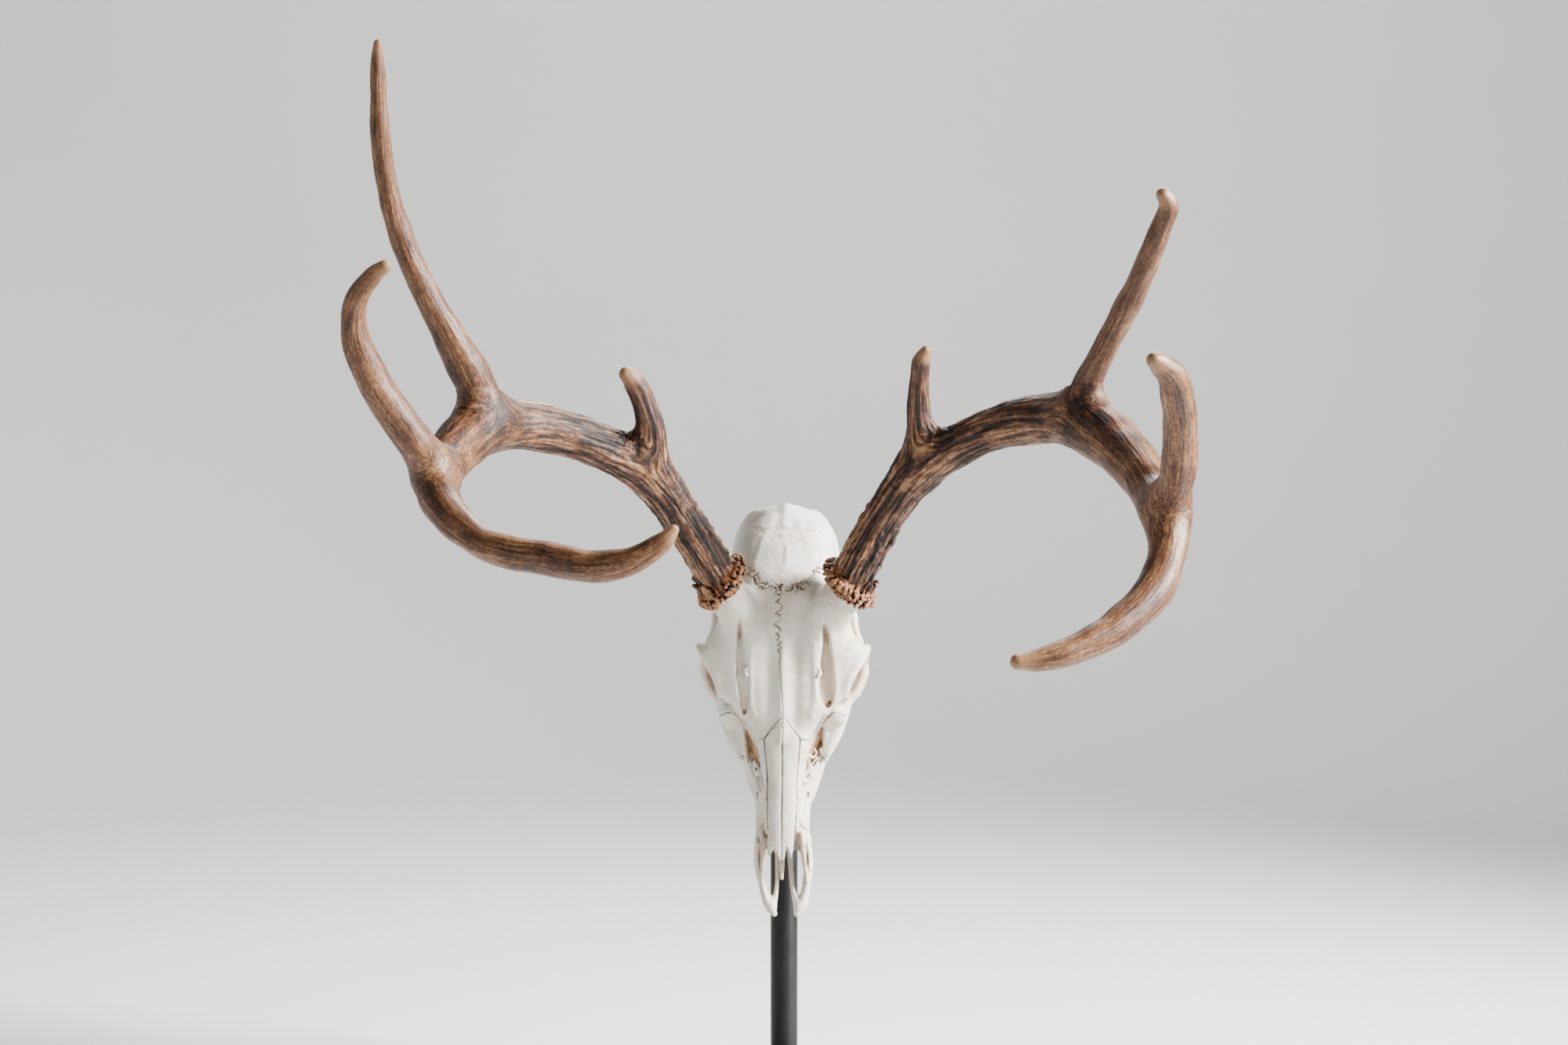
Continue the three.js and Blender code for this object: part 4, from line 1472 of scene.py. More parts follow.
    def _web(self, whole: Field, outer: Field, side: Side) -> None:
        """Spans a face hole with the thin bone struts behind it.

        Args:
            whole: The skull.
            outer: Its outer form.
            side: Which hole.
        """
        pocket, lace = FACE_HOLES[side], LACES[side]
        box, at = self._above(whole, side, pocket)
        outside, _ = self._above(outer, side, pocket)
        shape = whole.values[box].shape
        places = np.stack([np.broadcast_to(a, shape).ravel() for a in at], axis=1) / lace.mesh
        strands = np.abs(Noise(11 + side.value).at(places)).reshape(shape) * 6.5 - lace.width
        sheet = np.abs(outer.values[outside] + 2.0) - 0.8
        web = -smooth_min(-sheet, -strands, 0.6)
        web = np.maximum(web, -self._inset(at, side, pocket) - 1.5)
        fade = ease(np.broadcast_to(at[1], shape), *lace.fade)
        whole.values[box] = smooth_min(whole.values[box], web + fade * 3, 0.5)

    def _ridges(self, whole: Field, side: Side) -> None:
        """Adds the ridges, lumps and processes of one side.

        Args:
            whole: The skull.
            side: Which side.
        """
        def bar(stops: list, blend: float, **shape: float) -> None:
            """Joins one bar on."""
            whole.add(Tube(on_side(stops, side), **shape), blend)

        def hole(stops: list, blend: float) -> None:
            """Drills one hole."""
            whole.cut(Tube(on_side(stops, side)), blend)

        # the bed of the tooth row, and the swelling over it in front of the cheek bone
        bar([(14.6, 76, 8.5, 2.6), (16.6, 87, 7.4, 5), (19.2, 98, 7, 6.4), (23.8, 118, 7.5, 7.4),
             (27, 142, 8, 8.4), (27.5, 168, 8, 8)], 4)
        bar([(31, 112, 35, 3.4), (35.2, 124, 38.5, 4.8), (38.6, 136, 42.5, 4.8)], 4)
        # the wall and the rim of the eye socket
        whole.add(egg_on(side, (34, 134, 52), (11, 9, 15)), 3)
        bar([(43, 140.5, 45, 2.8), (42.2, 141, 60, 2.8), (44.8, 150.5, 74.5, 2.6),
             (51.5, 163.5, 77, 2.4), (57.4, 175.5, 72, 3.0), (57, 177, 62, 3.0)], 5)
        # the crest round the back
        bar([(0, 275.4, 74.2, 3.3), (14, 275.6, 73, 3.1), (23, 274.4, 70, 3.1),
             (29.5, 268.5, 62, 3.1), (34, 259.5, 49, 3.3), (35.5, 251, 40, 3.4)], 6)
        # the lip over the brow's small hole
        bar([(24.6, 152, 83.6, 0.9), (25.6, 154.5, 82.8, 1.5), (25.0, 157, 84.6, 1.1)], 0.4)
        # the knuckle that bears on the neck, the prong beside it, the ear capsule and its tube
        whole.add(egg_on(side, (14.5, 273, 31), (9.5, 9, 14), (20, -20, 0)), 2.5)
        bar([(27, 258, 36, 6.5), (27.5, 262, 14, 4.5), (25.5, 258, -3, 2.6)], 3, across=0.75, up=1.3)
        whole.add(egg_on(side, (19.5, 240, 21), (8, 12, 12), (0, 0, 12)), 1.5)
        bar([(24, 238, 30, 6), (41, 240, 40, 5)], 2)
        hole([(34, 239.4, 36.6, 2.6), (46, 240.6, 42.4, 3)], 0.6)
        # the blade under the braincase
        bar([(12.5, 162, 12, 9), (12, 184, 15, 8), (10, 204, 25, 6)], 2, across=0.33)
        # the nerve holes: one in the cheek, two in the eye socket's rim and one in the brow
        hole([(14, 88, 27.5, 1.5), (20.5, 77, 26.5, 1.9)], 0.6)
        hole([(38, 142, 57, 1.0), (48, 138.5, 57.5, 1.2)], 0.4)
        hole([(38, 142, 66, 0.9), (48, 139.5, 66.5, 1.1)], 0.4)
        hole([(24, 150, 80, 0.8), (24, 152, 92, 0.9)], 0.3)

    def _premaxilla(self, side: Side) -> Field:
        """The loose bars of the nose tip: an outer one and an inner prong.

        Args:
            side: Which side.

        Returns:
            The bone.
        """
        bone = Field(*box_on(side, (-1, -4, 0), (24, 84, 52)), self.nose_step)

        def bar(stops: list, blend: float, **shape: float) -> None:
            """Joins one bar on, leaning sideways towards the tip.

            Args:
                stops: (x, y, z, radius) along it.
                blend: How it is rounded into the rest.
                shape: The tube's other settings.
            """
            moved = np.array(stops, float)
            moved[:, 0] += self.lean[side] * np.maximum(0, 60 - moved[:, 1])
            bone.add(Tube(on_side(moved, side), **shape), blend)

        bar([(16.0, 58, 15, 3.2), (16.4, 50, 15, 4.0), (16.8, 38, 11.5, 4.1), (14.4, 22, 9, 3.8),
             (10.6, 10, 8, 4.3), (6.6, 3, 8, 2.4)], 1, across=0.8)
        bar([(17.2, 34, 12, 2.6), (17.4, 43, 17, 4.2), (16.8, 51, 22, 6.0)], 2, across=0.3, up=1.2)
        bar([(15.0, 25, 13, 2.2), (14.2, 34, 18, 3.6), (13.6, 44, 23.5, 4.6), (13.2, 54, 28, 5.0)],
            1.5, across=0.42, up=0.8)
        bar([(4.6, 60, 9.5, 2.2), (4.1, 40, 8.5, 2.1), (4.8, 22, 8, 2.1), (7.6, 8, 8, 2.9)], 3,
            across=0.8, up=1.1)
        return bone

    def _cheek(self, side: Side) -> Field:
        """The cheek bone: under the eye and back to the ear, with a branch up behind the eye.

        Args:
            side: Which side.

        Returns:
            The bone.
        """
        bone = Field(*box_on(side, (24, 100, 22), (64, 232, 68)), self.cheek_step)
        bone.add(self._cheek_arch(side, 0.0))
        bone.add(self._cheek_branch(side, 0.0), 4)
        return bone

    @staticmethod
    def _cheek_arch(side: Side, grow: float) -> Tube:
        """The long part of the cheek bone.

        Args:
            side: Which side.
            grow: A margin that it is grown by.

        Returns:
            Its form.
        """
        stops = np.array([(29.5, 107, 30, 2.6), (36.5, 123, 34, 6.2), (41.9, 140, 38, 7.4),
                          (44.2, 147.3, 38, 6.8), (49.5, 153, 37.8, 6.0), (52.9, 159, 37.8, 5.6),
                          (56, 171, 38.5, 5.4), (53.2, 187, 40.5, 4.8), (49.8, 199, 42.4, 4.8),
                          (48.6, 208, 43.8, 5.0), (43.5, 217, 45.2, 5.8), (35, 223, 47, 5.6)])
        stops[:, 3] += grow
        return Tube(on_side(stops, side), across=0.62, up=1.1)

    @staticmethod
    def _cheek_branch(side: Side, grow: float) -> Tube:
        """The branch of the cheek bone behind the eye.

        Args:
            side: Which side.
            grow: A margin that it is grown by.

        Returns:
            Its form.
        """
        stops = np.array([(53, 170, 39, 5), (55.5, 175, 50, 3.8), (57, 177.5, 58, 3.2)])
        stops[:, 3] += grow
        return Tube(on_side(stops, side))

    @staticmethod
    def _septum_bar(grow: float) -> Tube:
        """The form of the thin wall in the nose.

        Args:
            grow: A margin that it is grown by.

        Returns:
            Its form.
        """
        stops = np.array([(0, 27, 12, 2.3), (0, 50, 15, 2.9), (0, 90, 17, 3.3), (0, 138, 20, 3.4)])
        stops[:, 3] += grow
        return Tube(stops, across=0.62, up=1.4)

    def _septum(self) -> Field:
        """The thin wall down the middle of the nose.

        Returns:
            The bone.
        """
        bone = Field((-4, 22, 5), (4, 146, 28), self.nose_step)
        bone.add(self._septum_bar(0.0))
        return bone

    # -- parting into bones

    def _suture_warp(self, x: Array, y: Array) -> tuple[Array, Array]:
        """Places moved so that straight cuts become wandering sutures.

        Args:
            x: Places across, open to y.
            y: Places along.

        Returns:
            The moved places, each over the whole grid.
        """
        x, y = np.broadcast_arrays(x, y)
        flat = np.stack([x.ravel() / 3.1, y.ravel() / 2.5, np.full(x.size, 0.5)], axis=1)
        side_ways = Noise(21).layers(flat * (0.28, 0.95, 1.0), 2).reshape(x.shape)
        along = Noise(22).layers(flat * 0.9, 2).reshape(x.shape)
        busy = ease(y, 160, 176)
        crown = ease(y, 196, 203)
        drift = 2.2 * ease(y, 128, 170)
        return x + drift + side_ways * (0.2 + 4.2 * busy), y + along * (0.3 + 5.4 * crown)

    def _parted(self, whole: Field) -> list[tuple[str, Field]]:
        """Splits the skull into its bones along its sutures.

        Args:
            whole: The skull.

        Returns:
            Each bone's name and block.
        """
        for side in Side:
            whole.cut(self._cheek_arch(side, GAP))
            whole.cut(self._cheek_branch(side, GAP))
        whole.cut(self._septum_bar(0.5))
        self.seams = whole.part(*WHOLE)
        self.seams.values[:] = FAR
        x, y, z = whole.axes()
        wx, wy = self._suture_warp(x[:, :, 0], y[:, :, 0])
        bones = []
        for side in Side:
            region = np.maximum(self._plan(NASAL_TIPS[side] + NASAL_PLAN, wx * side.value, wy),
                                np.maximum(30 - z, -wx[:, :, None] * side.value))
            bones.append((f"nasal_{side.word}", self._taken(whole, region, side, "nasal")))
        flank = self._flank(NOSE_WALL, y, z)
        rim = 50.5 - 0.2 * (38 - z) - y + 2.5 * ease(np.abs(x), 13.5, 10.0)
        for side in Side:
            region = np.maximum(np.maximum(flank, -x * side.value), rim)
            wall = self._taken(whole, region, side, "premaxilla")
            nose = self._premaxilla(side)
            self._clear(whole, nose)
            bones.append((f"premaxilla_{side.word}", self._joined(nose, wall)))
        whole.values[:, :int(NOSE_END / self.step) - whole.start[1]] = FAR
        brow, jaw = self._flank(FRONTAL_FLANK, y, z), self._flank(MAXILLA_FLANK, y, z)
        for side in Side:
            region = np.maximum(self._plan(FRONTAL_PLAN, wx * side.value, wy), brow)
            region = np.maximum(region, -wx[:, :, None] * side.value)
            bones.append((f"frontal_{side.word}", self._taken(whole, region, side, "frontal")))
            region = np.maximum(jaw, -x * side.value)
            bones.append((f"maxilla_{side.word}", self._taken(whole, region, side, "maxilla")))
        return bones + self._cranium(whole)

    @staticmethod
    def _plan(outline: Sequence, x: Array, y: Array) -> Array:
        """The distance to an outline drawn on the top, over the block's whole height."""
        return outline_distance(outline, x, y)[:, :, None].astype(np.float32)

    @staticmethod
    def _flank(outline: Sequence, y: Array, z: Array) -> Array:
        """The distance to an outline drawn on the side, over the block's whole width."""
        y, z = np.broadcast_arrays(y[0, :, :], z[0, :, :])
        return outline_distance(outline, y, z)[None].astype(np.float32)

    @staticmethod
    def _cranium(whole: Field) -> list[tuple[str, Field]]:
        """Splits the braincase into its roof and its floor along a wavy line.

        Args:
            whole: What is left of the skull.

        Returns:
            Each one's name and block.
        """
        y, z = np.broadcast_arrays(*(axis[0, :, :] for axis in whole.axes()[1:]))
        ripple = Noise(31).at(np.stack([y.ravel() / 3, z.ravel() / 3, np.zeros(y.size)], axis=1))
        split = z - 60 - 7 * np.sin((y - 206) / 17) + 2.4 * ripple.reshape(y.shape)
        found = []
        for name, way in (("cranium_roof", -1), ("cranium_floor", 1)):
            half = whole.part((WHOLE[0][0], 150, WHOLE[0][2]), WHOLE[1])
            first = half.start[1] - whole.start[1]
            span = slice(first, first + half.values.shape[1])
            half.keep(GAP / 2 + way * split[None].astype(np.float32)[:, span])
            found.append((name, half))
        return found

    def _taken(self, whole: Field, region: Array, side: Side, name: str) -> Field:
        """Takes one bone out of the skull.

        Args:
            whole: The skull, which loses the bone and a thin gap.
            region: The distance to the bone's own space, over the whole block.
            side: The bone's side.
            name: The bone's kind.

        Returns:
            The bone.
        """
        near, far, front, back = BONE_SPANS[name]
        low, high = box_on(side, (near, front, WHOLE[0][2]), (far, back, WHOLE[1][2]))
        box, _ = whole.window(low, high, 0)
        bone = whole.part(low, high)
        inside = region[tuple(s if region.shape[k] > 1 else slice(None)
                              for k, s in enumerate(box))]
        bone.keep(inside + GAP / 2)
        np.minimum(self.seams.values, np.abs(region), out=self.seams.values,
                   where=whole.values < 0.8)
        whole.keep(GAP / 2 - region)
        return bone

    @staticmethod
    def _read(block: Field, other: Field) -> tuple[tuple, Array]:
        """Reads one block on another one's lattice.

        Args:
            block: The block whose lattice it is.
            other: The block that is read.

        Returns:
            The window of the first block that the second one covers, and what is read there.
        """
        box, at = block.window(*other.ends(1), 0)
        shape = block.values[box].shape
        x, y, z = (np.broadcast_to(a, shape).ravel() for a in at)
        return box, other.sample(np.stack([x, y, z], axis=1)).reshape(shape).astype(np.float32)

    def _clear(self, whole: Field, loose: Field) -> None:
        """Makes room in the skull for a bone that lies beside it."""
        box, away = self._read(whole, loose)
        whole.values[box] = np.maximum(whole.values[box], 0.25 - away)

    def _joined(self, bone: Field, wall: Field) -> Field:
        """Joins a wall taken from the skull onto a bone drawn on its own.

        Args:
            bone: The bone.
            wall: The wall.

        Returns:
            The bone with its wall.
        """
        box, away = self._read(bone, wall)
        bone.values[box] = smooth_min(bone.values[box], away, 2.2)
        return bone

    # -- surface

    def _dress(self, name: str, bone: Field, outer: Field) -> Piece:
        """Gives a bone its skin, its relief, its stored values and its material.

        Args:
            name: The bone's name.
            bone: Its block.
            outer: The skull's outer form.

        Returns:
            The bone as an object.
        """
        skin = bone.skin().eased(1)
        points, normals = skin.points, skin.normals()
        top = ease(normals[:, 2], 0.05, 0.45)
        flank = ease(np.abs(normals[:, 0]), 0.3, 0.7)
        rise, seam = self._drawn(points, top, flank)
        rise += self._uneven(points)
        # painted shade: places that the bone closes round are tinted tan in the material
        shade = bone.sample(points + normals * SHADE_REACH) / SHADE_REACH
        painted_glow, web = self._painted_light_and_shade(points, normals, outer, top)
        skin.values["hollow"] = np.clip(1 - shade, 0, 1.4) * (1 - 0.85 * web)
        # painted light through thin bone and painted warm shade, stored as thin
        skin.values["thin"] = painted_glow
        busy = ease(points[:, 1], 150, 175)
        dark = (0.55 + 0.4 * busy) * ease(self.seams.sample(points), 0.95 + 0.55 * busy, 0.2)
        skin.values["seam"] = np.maximum(seam, dark * np.maximum(top, 0.4 * flank))
        rise -= 0.45 * dark * busy * top
        skin.points = points + normals * rise[:, None]
        skin.values["place"] = points / 10
        piece = skin.as_object(name + "_bone", self.pose.matrix(), BONE.material())
        node = "cranium" if name.startswith("cranium") else name
        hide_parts(node)
        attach(piece, "root")
        return piece

    @staticmethod
    def _drawn(points: Array, top: Array, flank: Array) -> tuple[Array, Array]:
        """The lines drawn on the bones.

        Args:
            points: Places on the surface.
            top: How far each one faces up.
            flank: How far each one faces sideways.

        Returns:
            How far the lines stand out and how dark they are.
        """
        rise, seam = np.zeros(len(points)), np.zeros(len(points))
        views = ((TOP_LINES, np.abs(points[:, 0]), points[:, 1], top),
                 (FLANK_LINES, points[:, 1], points[:, 2], flank))
        for lines, u, v, facing in views:
            for line in lines:
                amount = line.at(u, v) * facing
                rise += amount * line.height
                seam = np.maximum(seam, amount * line.seam)
        return rise, seam

    def _uneven(self, points: Array) -> Array:
        """The bone's slight lumps, and its roughness round the antlers' feet.

        Args:
            points: Places on the surface.

        Returns:
            How far each one stands out.
        """
        rise = 0.40 * Noise(41).at(points / 15) + 0.16 * Noise(42).at(points / 5.5)
        rise += 0.05 * Noise(43).at(points / 1.7)
        for foot in self.feet.values():
            rough = ease(np.linalg.norm(points - foot, axis=1), 34, 17)
            rise += rough * 0.5 * Noise(44).layers(points / (2.4, 5.0, 2.4), 2)
        return rise

    @staticmethod
    def _painted_light_and_shade(points: Array, normals: Array, outer: Field, top: Array) -> tuple[Array, Array]:
        """Where the bone is thin or deep inside it is painted warm: painted light shining through thin
        bone, and painted shade in the hollows.

        Args:
            points: Places on the surface.
            normals: The way that each one faces.
            outer: The skull's outer form.
            top: How far each one faces up.

        Returns:
            The painted light and shade, and how much of a face hole's lace is at each place.
        """
        x, y, z = np.abs(points[:, 0]), points[:, 1], points[:, 2]
        within = (points > (outer.start + 2) * outer.step).all(axis=1) & (y < 190) & (z > 30)
        deep = -outer.sample(points) * within
        facing = ease(normals[:, 2], -0.4, 0.0)
        web = np.zeros(len(points))
        # painted warm shade in deep places that face up
        painted_glow = 0.3 * ease(deep, 2.5, 7) * top
        # painted light and shade in the face holes and the brow grooves
        for side in Side:
            hole, groove = (outline_distance(rounded(pocket.outline), points[:, 0] * side.value, y)
                            for pocket in (FACE_HOLES[side], BROW_GROOVES[side]))
            web += ease(hole, 1.0, -0.5) * ease(deep, 3.9, 3.2)
            sunk = BROW_GROOVES[side].painted_glow * ease(groove, 0.3, -1.2) * ease(deep, 1.0, 3.0)
            painted_glow = np.maximum(painted_glow, ease(hole, 0.5, -1.0) * ease(deep, 3.0, 4.4) * facing)
            painted_glow = np.maximum(painted_glow, sunk * facing)
        # painted light through the eye sockets' thin walls, and painted shade inside them
        for side in Side:
            inside = egg_on(side, ORBIT, (34.5, 19, 19.5), ORBIT_TURN).distance(*points.T) < 0
            cup = egg_on(side, ORBIT, (42, 24, 26), ORBIT_TURN)
            toward = np.sum(unit(cup.centre - points) * normals, axis=1)
            lined = (cup.distance(*points.T) < 0) * ease(toward, 0.15, 0.5)
            painted_glow = np.maximum(painted_glow, 0.5 * inside * ease(x, 14, 24))
            painted_glow = np.maximum(painted_glow, 0.62 * lined * ease(x, 34, 40))
        # painted warm shade inside the nose, and on the inner faces of its tip
        nostril = ease(y, 88, 62) * ease(deep, 1.0, 2.2) * (z > 14)
        inwards = ease(-normals[:, 0] * np.sign(points[:, 0]), -0.1, 0.4)
        medial = inwards * ease(y, 68, 58) * ease(x, 8.5, 11) * ease(y, 18, 30)
        painted_glow = np.maximum(np.maximum(painted_glow * within, 0.42 * nostril), 0.62 * medial)
        return painted_glow, np.clip(web, 0, 1) * within

    # -- teeth

    def _teeth(self, side: Side) -> Piece:
        """The six cheek teeth of one side: three with one lobe, then three with two.

        Args:
            side: Which side.

        Returns:
            The row as an object.
        """
        row = Field(*box_on(side, (10, 84, -15), (40, 170, 6)), self.teeth_step)
        teeth = ((17.8, 93, 9.5, 10.5, 1), (20.3, 104, 11, 11, 1), (22.8, 115.3, 12, 11, 1),
                 (25, 128, 13.5, 14, 2), (26.5, 142.8, 14, 15.2, 2), (27, 158.4, 13.5, 15.2, 2))
        for x, y, wide, long, lobes in teeth:
            for k in range(lobes):
                self._lobe(row, side, x, y + long / lobes * (k - (lobes - 1) / 2), wide,
                           long / lobes)
        skin = row.skin(200).eased(1)
        normals = skin.normals()
        # painted shade: places the tooth closes round are browned; the band along the gum is staining
        shade = row.sample(skin.points + normals * 2) / 2
        gum = 0.6 * ease(skin.points[:, 2], -1.0, 3.0)
        skin.values["hollow"] = np.clip(1 - shade, 0, 1.2) + gum
        skin.values["place"] = skin.points / 10
        grit = Noise(51).layers(skin.points / 1.8, 2)
        skin.points = skin.points + normals * (0.08 * grit)[:, None]
        piece = skin.as_object(f"teeth_{side.word}", self.pose.matrix(), ENAMEL.material())
        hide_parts(f"maxilla_{side.word}")
        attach(piece, "root")
        return piece

    @staticmethod
    def _lobe(row: Field, side: Side, x: float, y: float, wide: float, long: float) -> None:
        """Adds one lobe of a tooth: an outer and an inner crescent round a pit.

        Args:
            row: The block that it goes into.
            side: Which side.
            x: Its middle across.
            y: Its middle along.
            wide: Its width.
            long: Its length.
        """
        half, reach = wide / 2, long / 2 * 1.04
        outer, inner = x + half * 0.42, x - half * 0.42
        flat = 0.60 * half / reach
        row.add(Tube(on_side([(outer + 0.4, y, 6, reach), (outer, y, -5.0, reach),
                              (outer - 0.3, y, -9.4, reach * 0.80), (outer - 0.6, y, -11.8, 0.7)],
                             side), across=flat), 0.5)
        row.add(Tube(on_side([(inner - 0.4, y, 6, reach), (inner, y, -5.0, reach * 0.98),
                              (inner + 0.2, y, -8.2, reach * 0.78), (inner + 0.4, y, -10.2, 0.7)],
                             side), across=flat), 0.6)
        for share in (-0.66, 0.0, 0.66):
            rib = y + reach * share
            out = outer + half * (0.52 - 0.14 * abs(share))
            row.add(Tube(on_side([(out, rib, 5, 0.9), (out - 0.2, rib, -6, 0.8),
                                  (out - 1.2, rib, -9.5, 0.5)], side)), 0.7)
        row.cut(Tube(on_side([(x + 0.6, y - reach * 0.66, -9.6, 0.8), (x - 0.9, y, -8.6, 1.15),
                              (x + 0.6, y + reach * 0.66, -9.6, 0.8)], side)), 0.4)


# ---- the antlers ----


@dataclass(frozen=True)
class Stretch:
    """One length of an antler that is made as one piece.

    Attributes:
        name: Its name.
        start: Where it starts on the beam, counted in stops.
        end: Where it ends.
        tines: The tines that stand on it.
        nodes: The nodes that it stands for.
        step: Its lattice's pitch.
    """

    name: str
    start: float
    end: float
    tines: tuple
    nodes: tuple
    step: float


@dataclass
class CentreLine:
    """The sampled centre line of a beam or a tine.

    Attributes:
        time: Where each sample is, counted in stops.
        points: The samples.
        radius: How thick the antler is there.
        along: The line's direction.
        side: A direction across it, carried without twist.
        length: How far each sample is from the antler's foot.
    """

    time: Array
    points: Array
    radius: Array
    along: Array
    side: Array
    length: Array

    def nearest(self, places: Array) -> Array:
        """The sample nearest each place, where a thick sample counts as nearer.

        Args:
            places: (n, 3) places.

        Returns:
            (n,) numbers of samples.
        """
        found = np.empty(len(places), int)
        size = np.sum(self.points**2, axis=1)[None]
        bonus = self.radius[None] ** 2 * 0.3
        for k in range(0, len(places), BATCH):
            part = places[k:k + BATCH]
            gaps = np.sum(part**2, axis=1)[:, None] - 2 * part @ self.points.T + size
            found[k:k + BATCH] = np.argmin(gaps - bonus, axis=1)
        return found


@dataclass
class Antler:
    """One antler: its beam, its tines and the burr round its foot."""

    side: Side
    beam: list
    forks: dict
    tines: dict
    burr_normal: tuple
    stretches: tuple
    burr_radius: float = 20.6
    tuck: float = 0.45  # of a stop, over which a piece's end sinks into its neighbour
    fillet: float = 17.0  # millimetres over which a tine flows into the beam
    tip_reach: float = 10.0  # millimetres of a tip that are worn smooth
    lines: dict[str, CentreLine] = field(default_factory=dict)

    def build(self) -> list[Piece]:
        """Builds and dresses the antler's pieces."""
        self._lay_out()
        return [self._piece(stretch) for stretch in self.stretches]

    def _lay_out(self) -> None:
        """Samples the beam's centre line, and each tine's from where it leaves the beam."""
        self.lines["beam"] = self._sampled(self.beam, None, 0.0)
        beam = self.lines["beam"]
        for name, stops in self.tines.items():
            k = int(np.argmin(np.abs(beam.time - self.forks[name])))
            origin = (beam.along[k], beam.side[k])
            self.lines[name] = self._sampled(stops, origin, beam.length[k])

    @staticmethod
    def _sampled(stops: Sequence, origin: Optional[tuple], length: float) -> CentreLine:
        """Samples one centre line.

        Args:
            stops: (x, y, z, radius) along it.
            origin: The direction and side of the line that it leaves, if any.
            length: The length already run at its start.

        Returns:
            The sampled line.
        """
        time = np.linspace(0, len(stops) - 1, 12 * (len(stops) - 1) + 1)
        found = curve_through(np.array(stops, float), time)
        points = found[:, :3]
        along = unit(np.gradient(points, axis=0))
        if origin is None:
            side = np.cross(along[0], [0, 1.0, 0])
        else:
            turn = Vector(origin[0]).rotation_difference(Vector(along[0]))
            side = np.array(turn @ Vector(origin[1]))
        run = np.concatenate([[0], np.cumsum(np.linalg.norm(np.diff(points, axis=0), axis=1))])
        return CentreLine(time, points, found[:, 3], along, carried(along, side), run + length)

    def _piece(self, stretch: Stretch) -> Piece:
        """Builds one stretch.

        Args:
            stretch: Which one.

        Returns:
            The dressed piece.
        """
        last = len(self.beam) - 1.0
        start = max(0.0, stretch.start - self.tuck)
        end = min(last, stretch.end + self.tuck)

        def shrink(time: Array) -> Array:
            """How far the piece's ends sink inside their neighbours.

            Args:
                time: Places along the beam, counted in stops.

            Returns:
                What is taken off the radius at each one.
            """
            before = np.clip((stretch.start - time) / self.tuck, 0, 1) if start > 0 else 0 * time
            after = np.clip((time - stretch.end) / self.tuck, 0, 1) if end < last else 0 * time
            return 1.6 * (before**2 + after**2)

        parts = [Tube(self.beam, span=(start, end), fine=7, shrink=shrink, room=self.fillet)]
        parts += [Tube(self.tines[name], fine=6, room=self.fillet) for name in stretch.tines]
        low = np.min([p.low for p in parts], axis=0) - 9
        high = np.max([p.high for p in parts], axis=0) + 9
        block = Field(low, high, stretch.step)
        for k, part in enumerate(parts):
            block.add(part, self.fillet if k else 0)
        if start == 0:
            self._burr(block)
        skin = block.skin()
        self._relief(skin, block, start == 0)
        piece = skin.as_object(f"antler_{self.side.word}_{stretch.name}", Matrix.Identity(4),
                               ANTLER.material())
        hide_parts(*[f"antler_{self.side.word}_{node}" for node in stretch.nodes])
        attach(piece, "root")
        return piece

    def _burr(self, block: Field) -> None:
        """Adds the knobbly ring round the foot, its short ribs and the pearls above it.

        Args:
            block: The block that they go into.
        """
        rng = np.random.default_rng(70 + self.side.value)
        foot = np.array(self.beam[0][:3], float)
        normal = unit(np.array(self.burr_normal, float))
        side = unit(np.cross(normal, [0, 1.0, 0.2]))
        rise = np.cross(side, normal)

        def outwards(k: int, count: int, stray: float) -> Array:
            """The direction out of the burr to the k-th of so many places round it."""
            angle = 2 * math.pi * (k + rng.uniform(-stray, stray)) / count
            return side * math.cos(angle) + rise * math.sin(angle)

        block.add(Disc(foot + normal * 0.4, normal, self.burr_radius - 1.8, 3.6, 2.6), 4)
        rows = ((-2.6, -1.0, 38, 1.5), (0.2, -0.2, 42, 1.8), (2.8, -1.4, 38, 1.6), (4.4, -3.6, 32, 1.4))
        for lift, inset, count, size in rows:
            for k in range(count):
                out = outwards(k, count, 0.4)
                knob = (foot + out * (self.burr_radius + inset + rng.uniform(-0.9, 0.7))
                        + normal * (lift + rng.uniform(-0.7, 0.7)))
                block.add(Egg(knob, size * rng.uniform(0.75, 1.25, 3)), 0.35)
        ribs = 34
        for k in range(ribs):
            out = outwards(k, ribs, 0.3)
            size = rng.uniform(0.9, 1.6)
            low = foot + out * (self.burr_radius - 3.4) + normal * 3.6
            top = foot + out * rng.uniform(13.2, 14.4) + normal * rng.uniform(8, 14)
            block.add(Tube([(*low, size * 1.2), (*((low + top) / 2 - out * 1.2), size),
                            (*top, size * 0.8)], fine=3), 0.6)
        self._pearls(block, rng, 95)

    def _pearls(self, block: Field, rng: np.random.Generator, count: int) -> None:
        """Strews pearls over the lowest part of the beam.

        Args:
            block: The block that they go into.
            rng: Where their places are drawn from.
            count: How many.
        """
        beam = self.lines["beam"]
        for _ in range(count):
            k = int(rng.uniform(2, 24))
            angle = rng.uniform(0, 2 * math.pi)
            across = np.cross(beam.side[k], beam.along[k])
            out = beam.side[k] * math.cos(angle) + across * math.sin(angle)
            centre = beam.points[k] + out * (beam.radius[k] + rng.uniform(-0.6, 0.3))
            ahead = centre + beam.along[k] * rng.uniform(1, 5)
            size = rng.uniform(0.8, 1.6)
            block.add(Tube([(*centre, size), (*ahead, size * 0.7)], fine=2), 1.2)

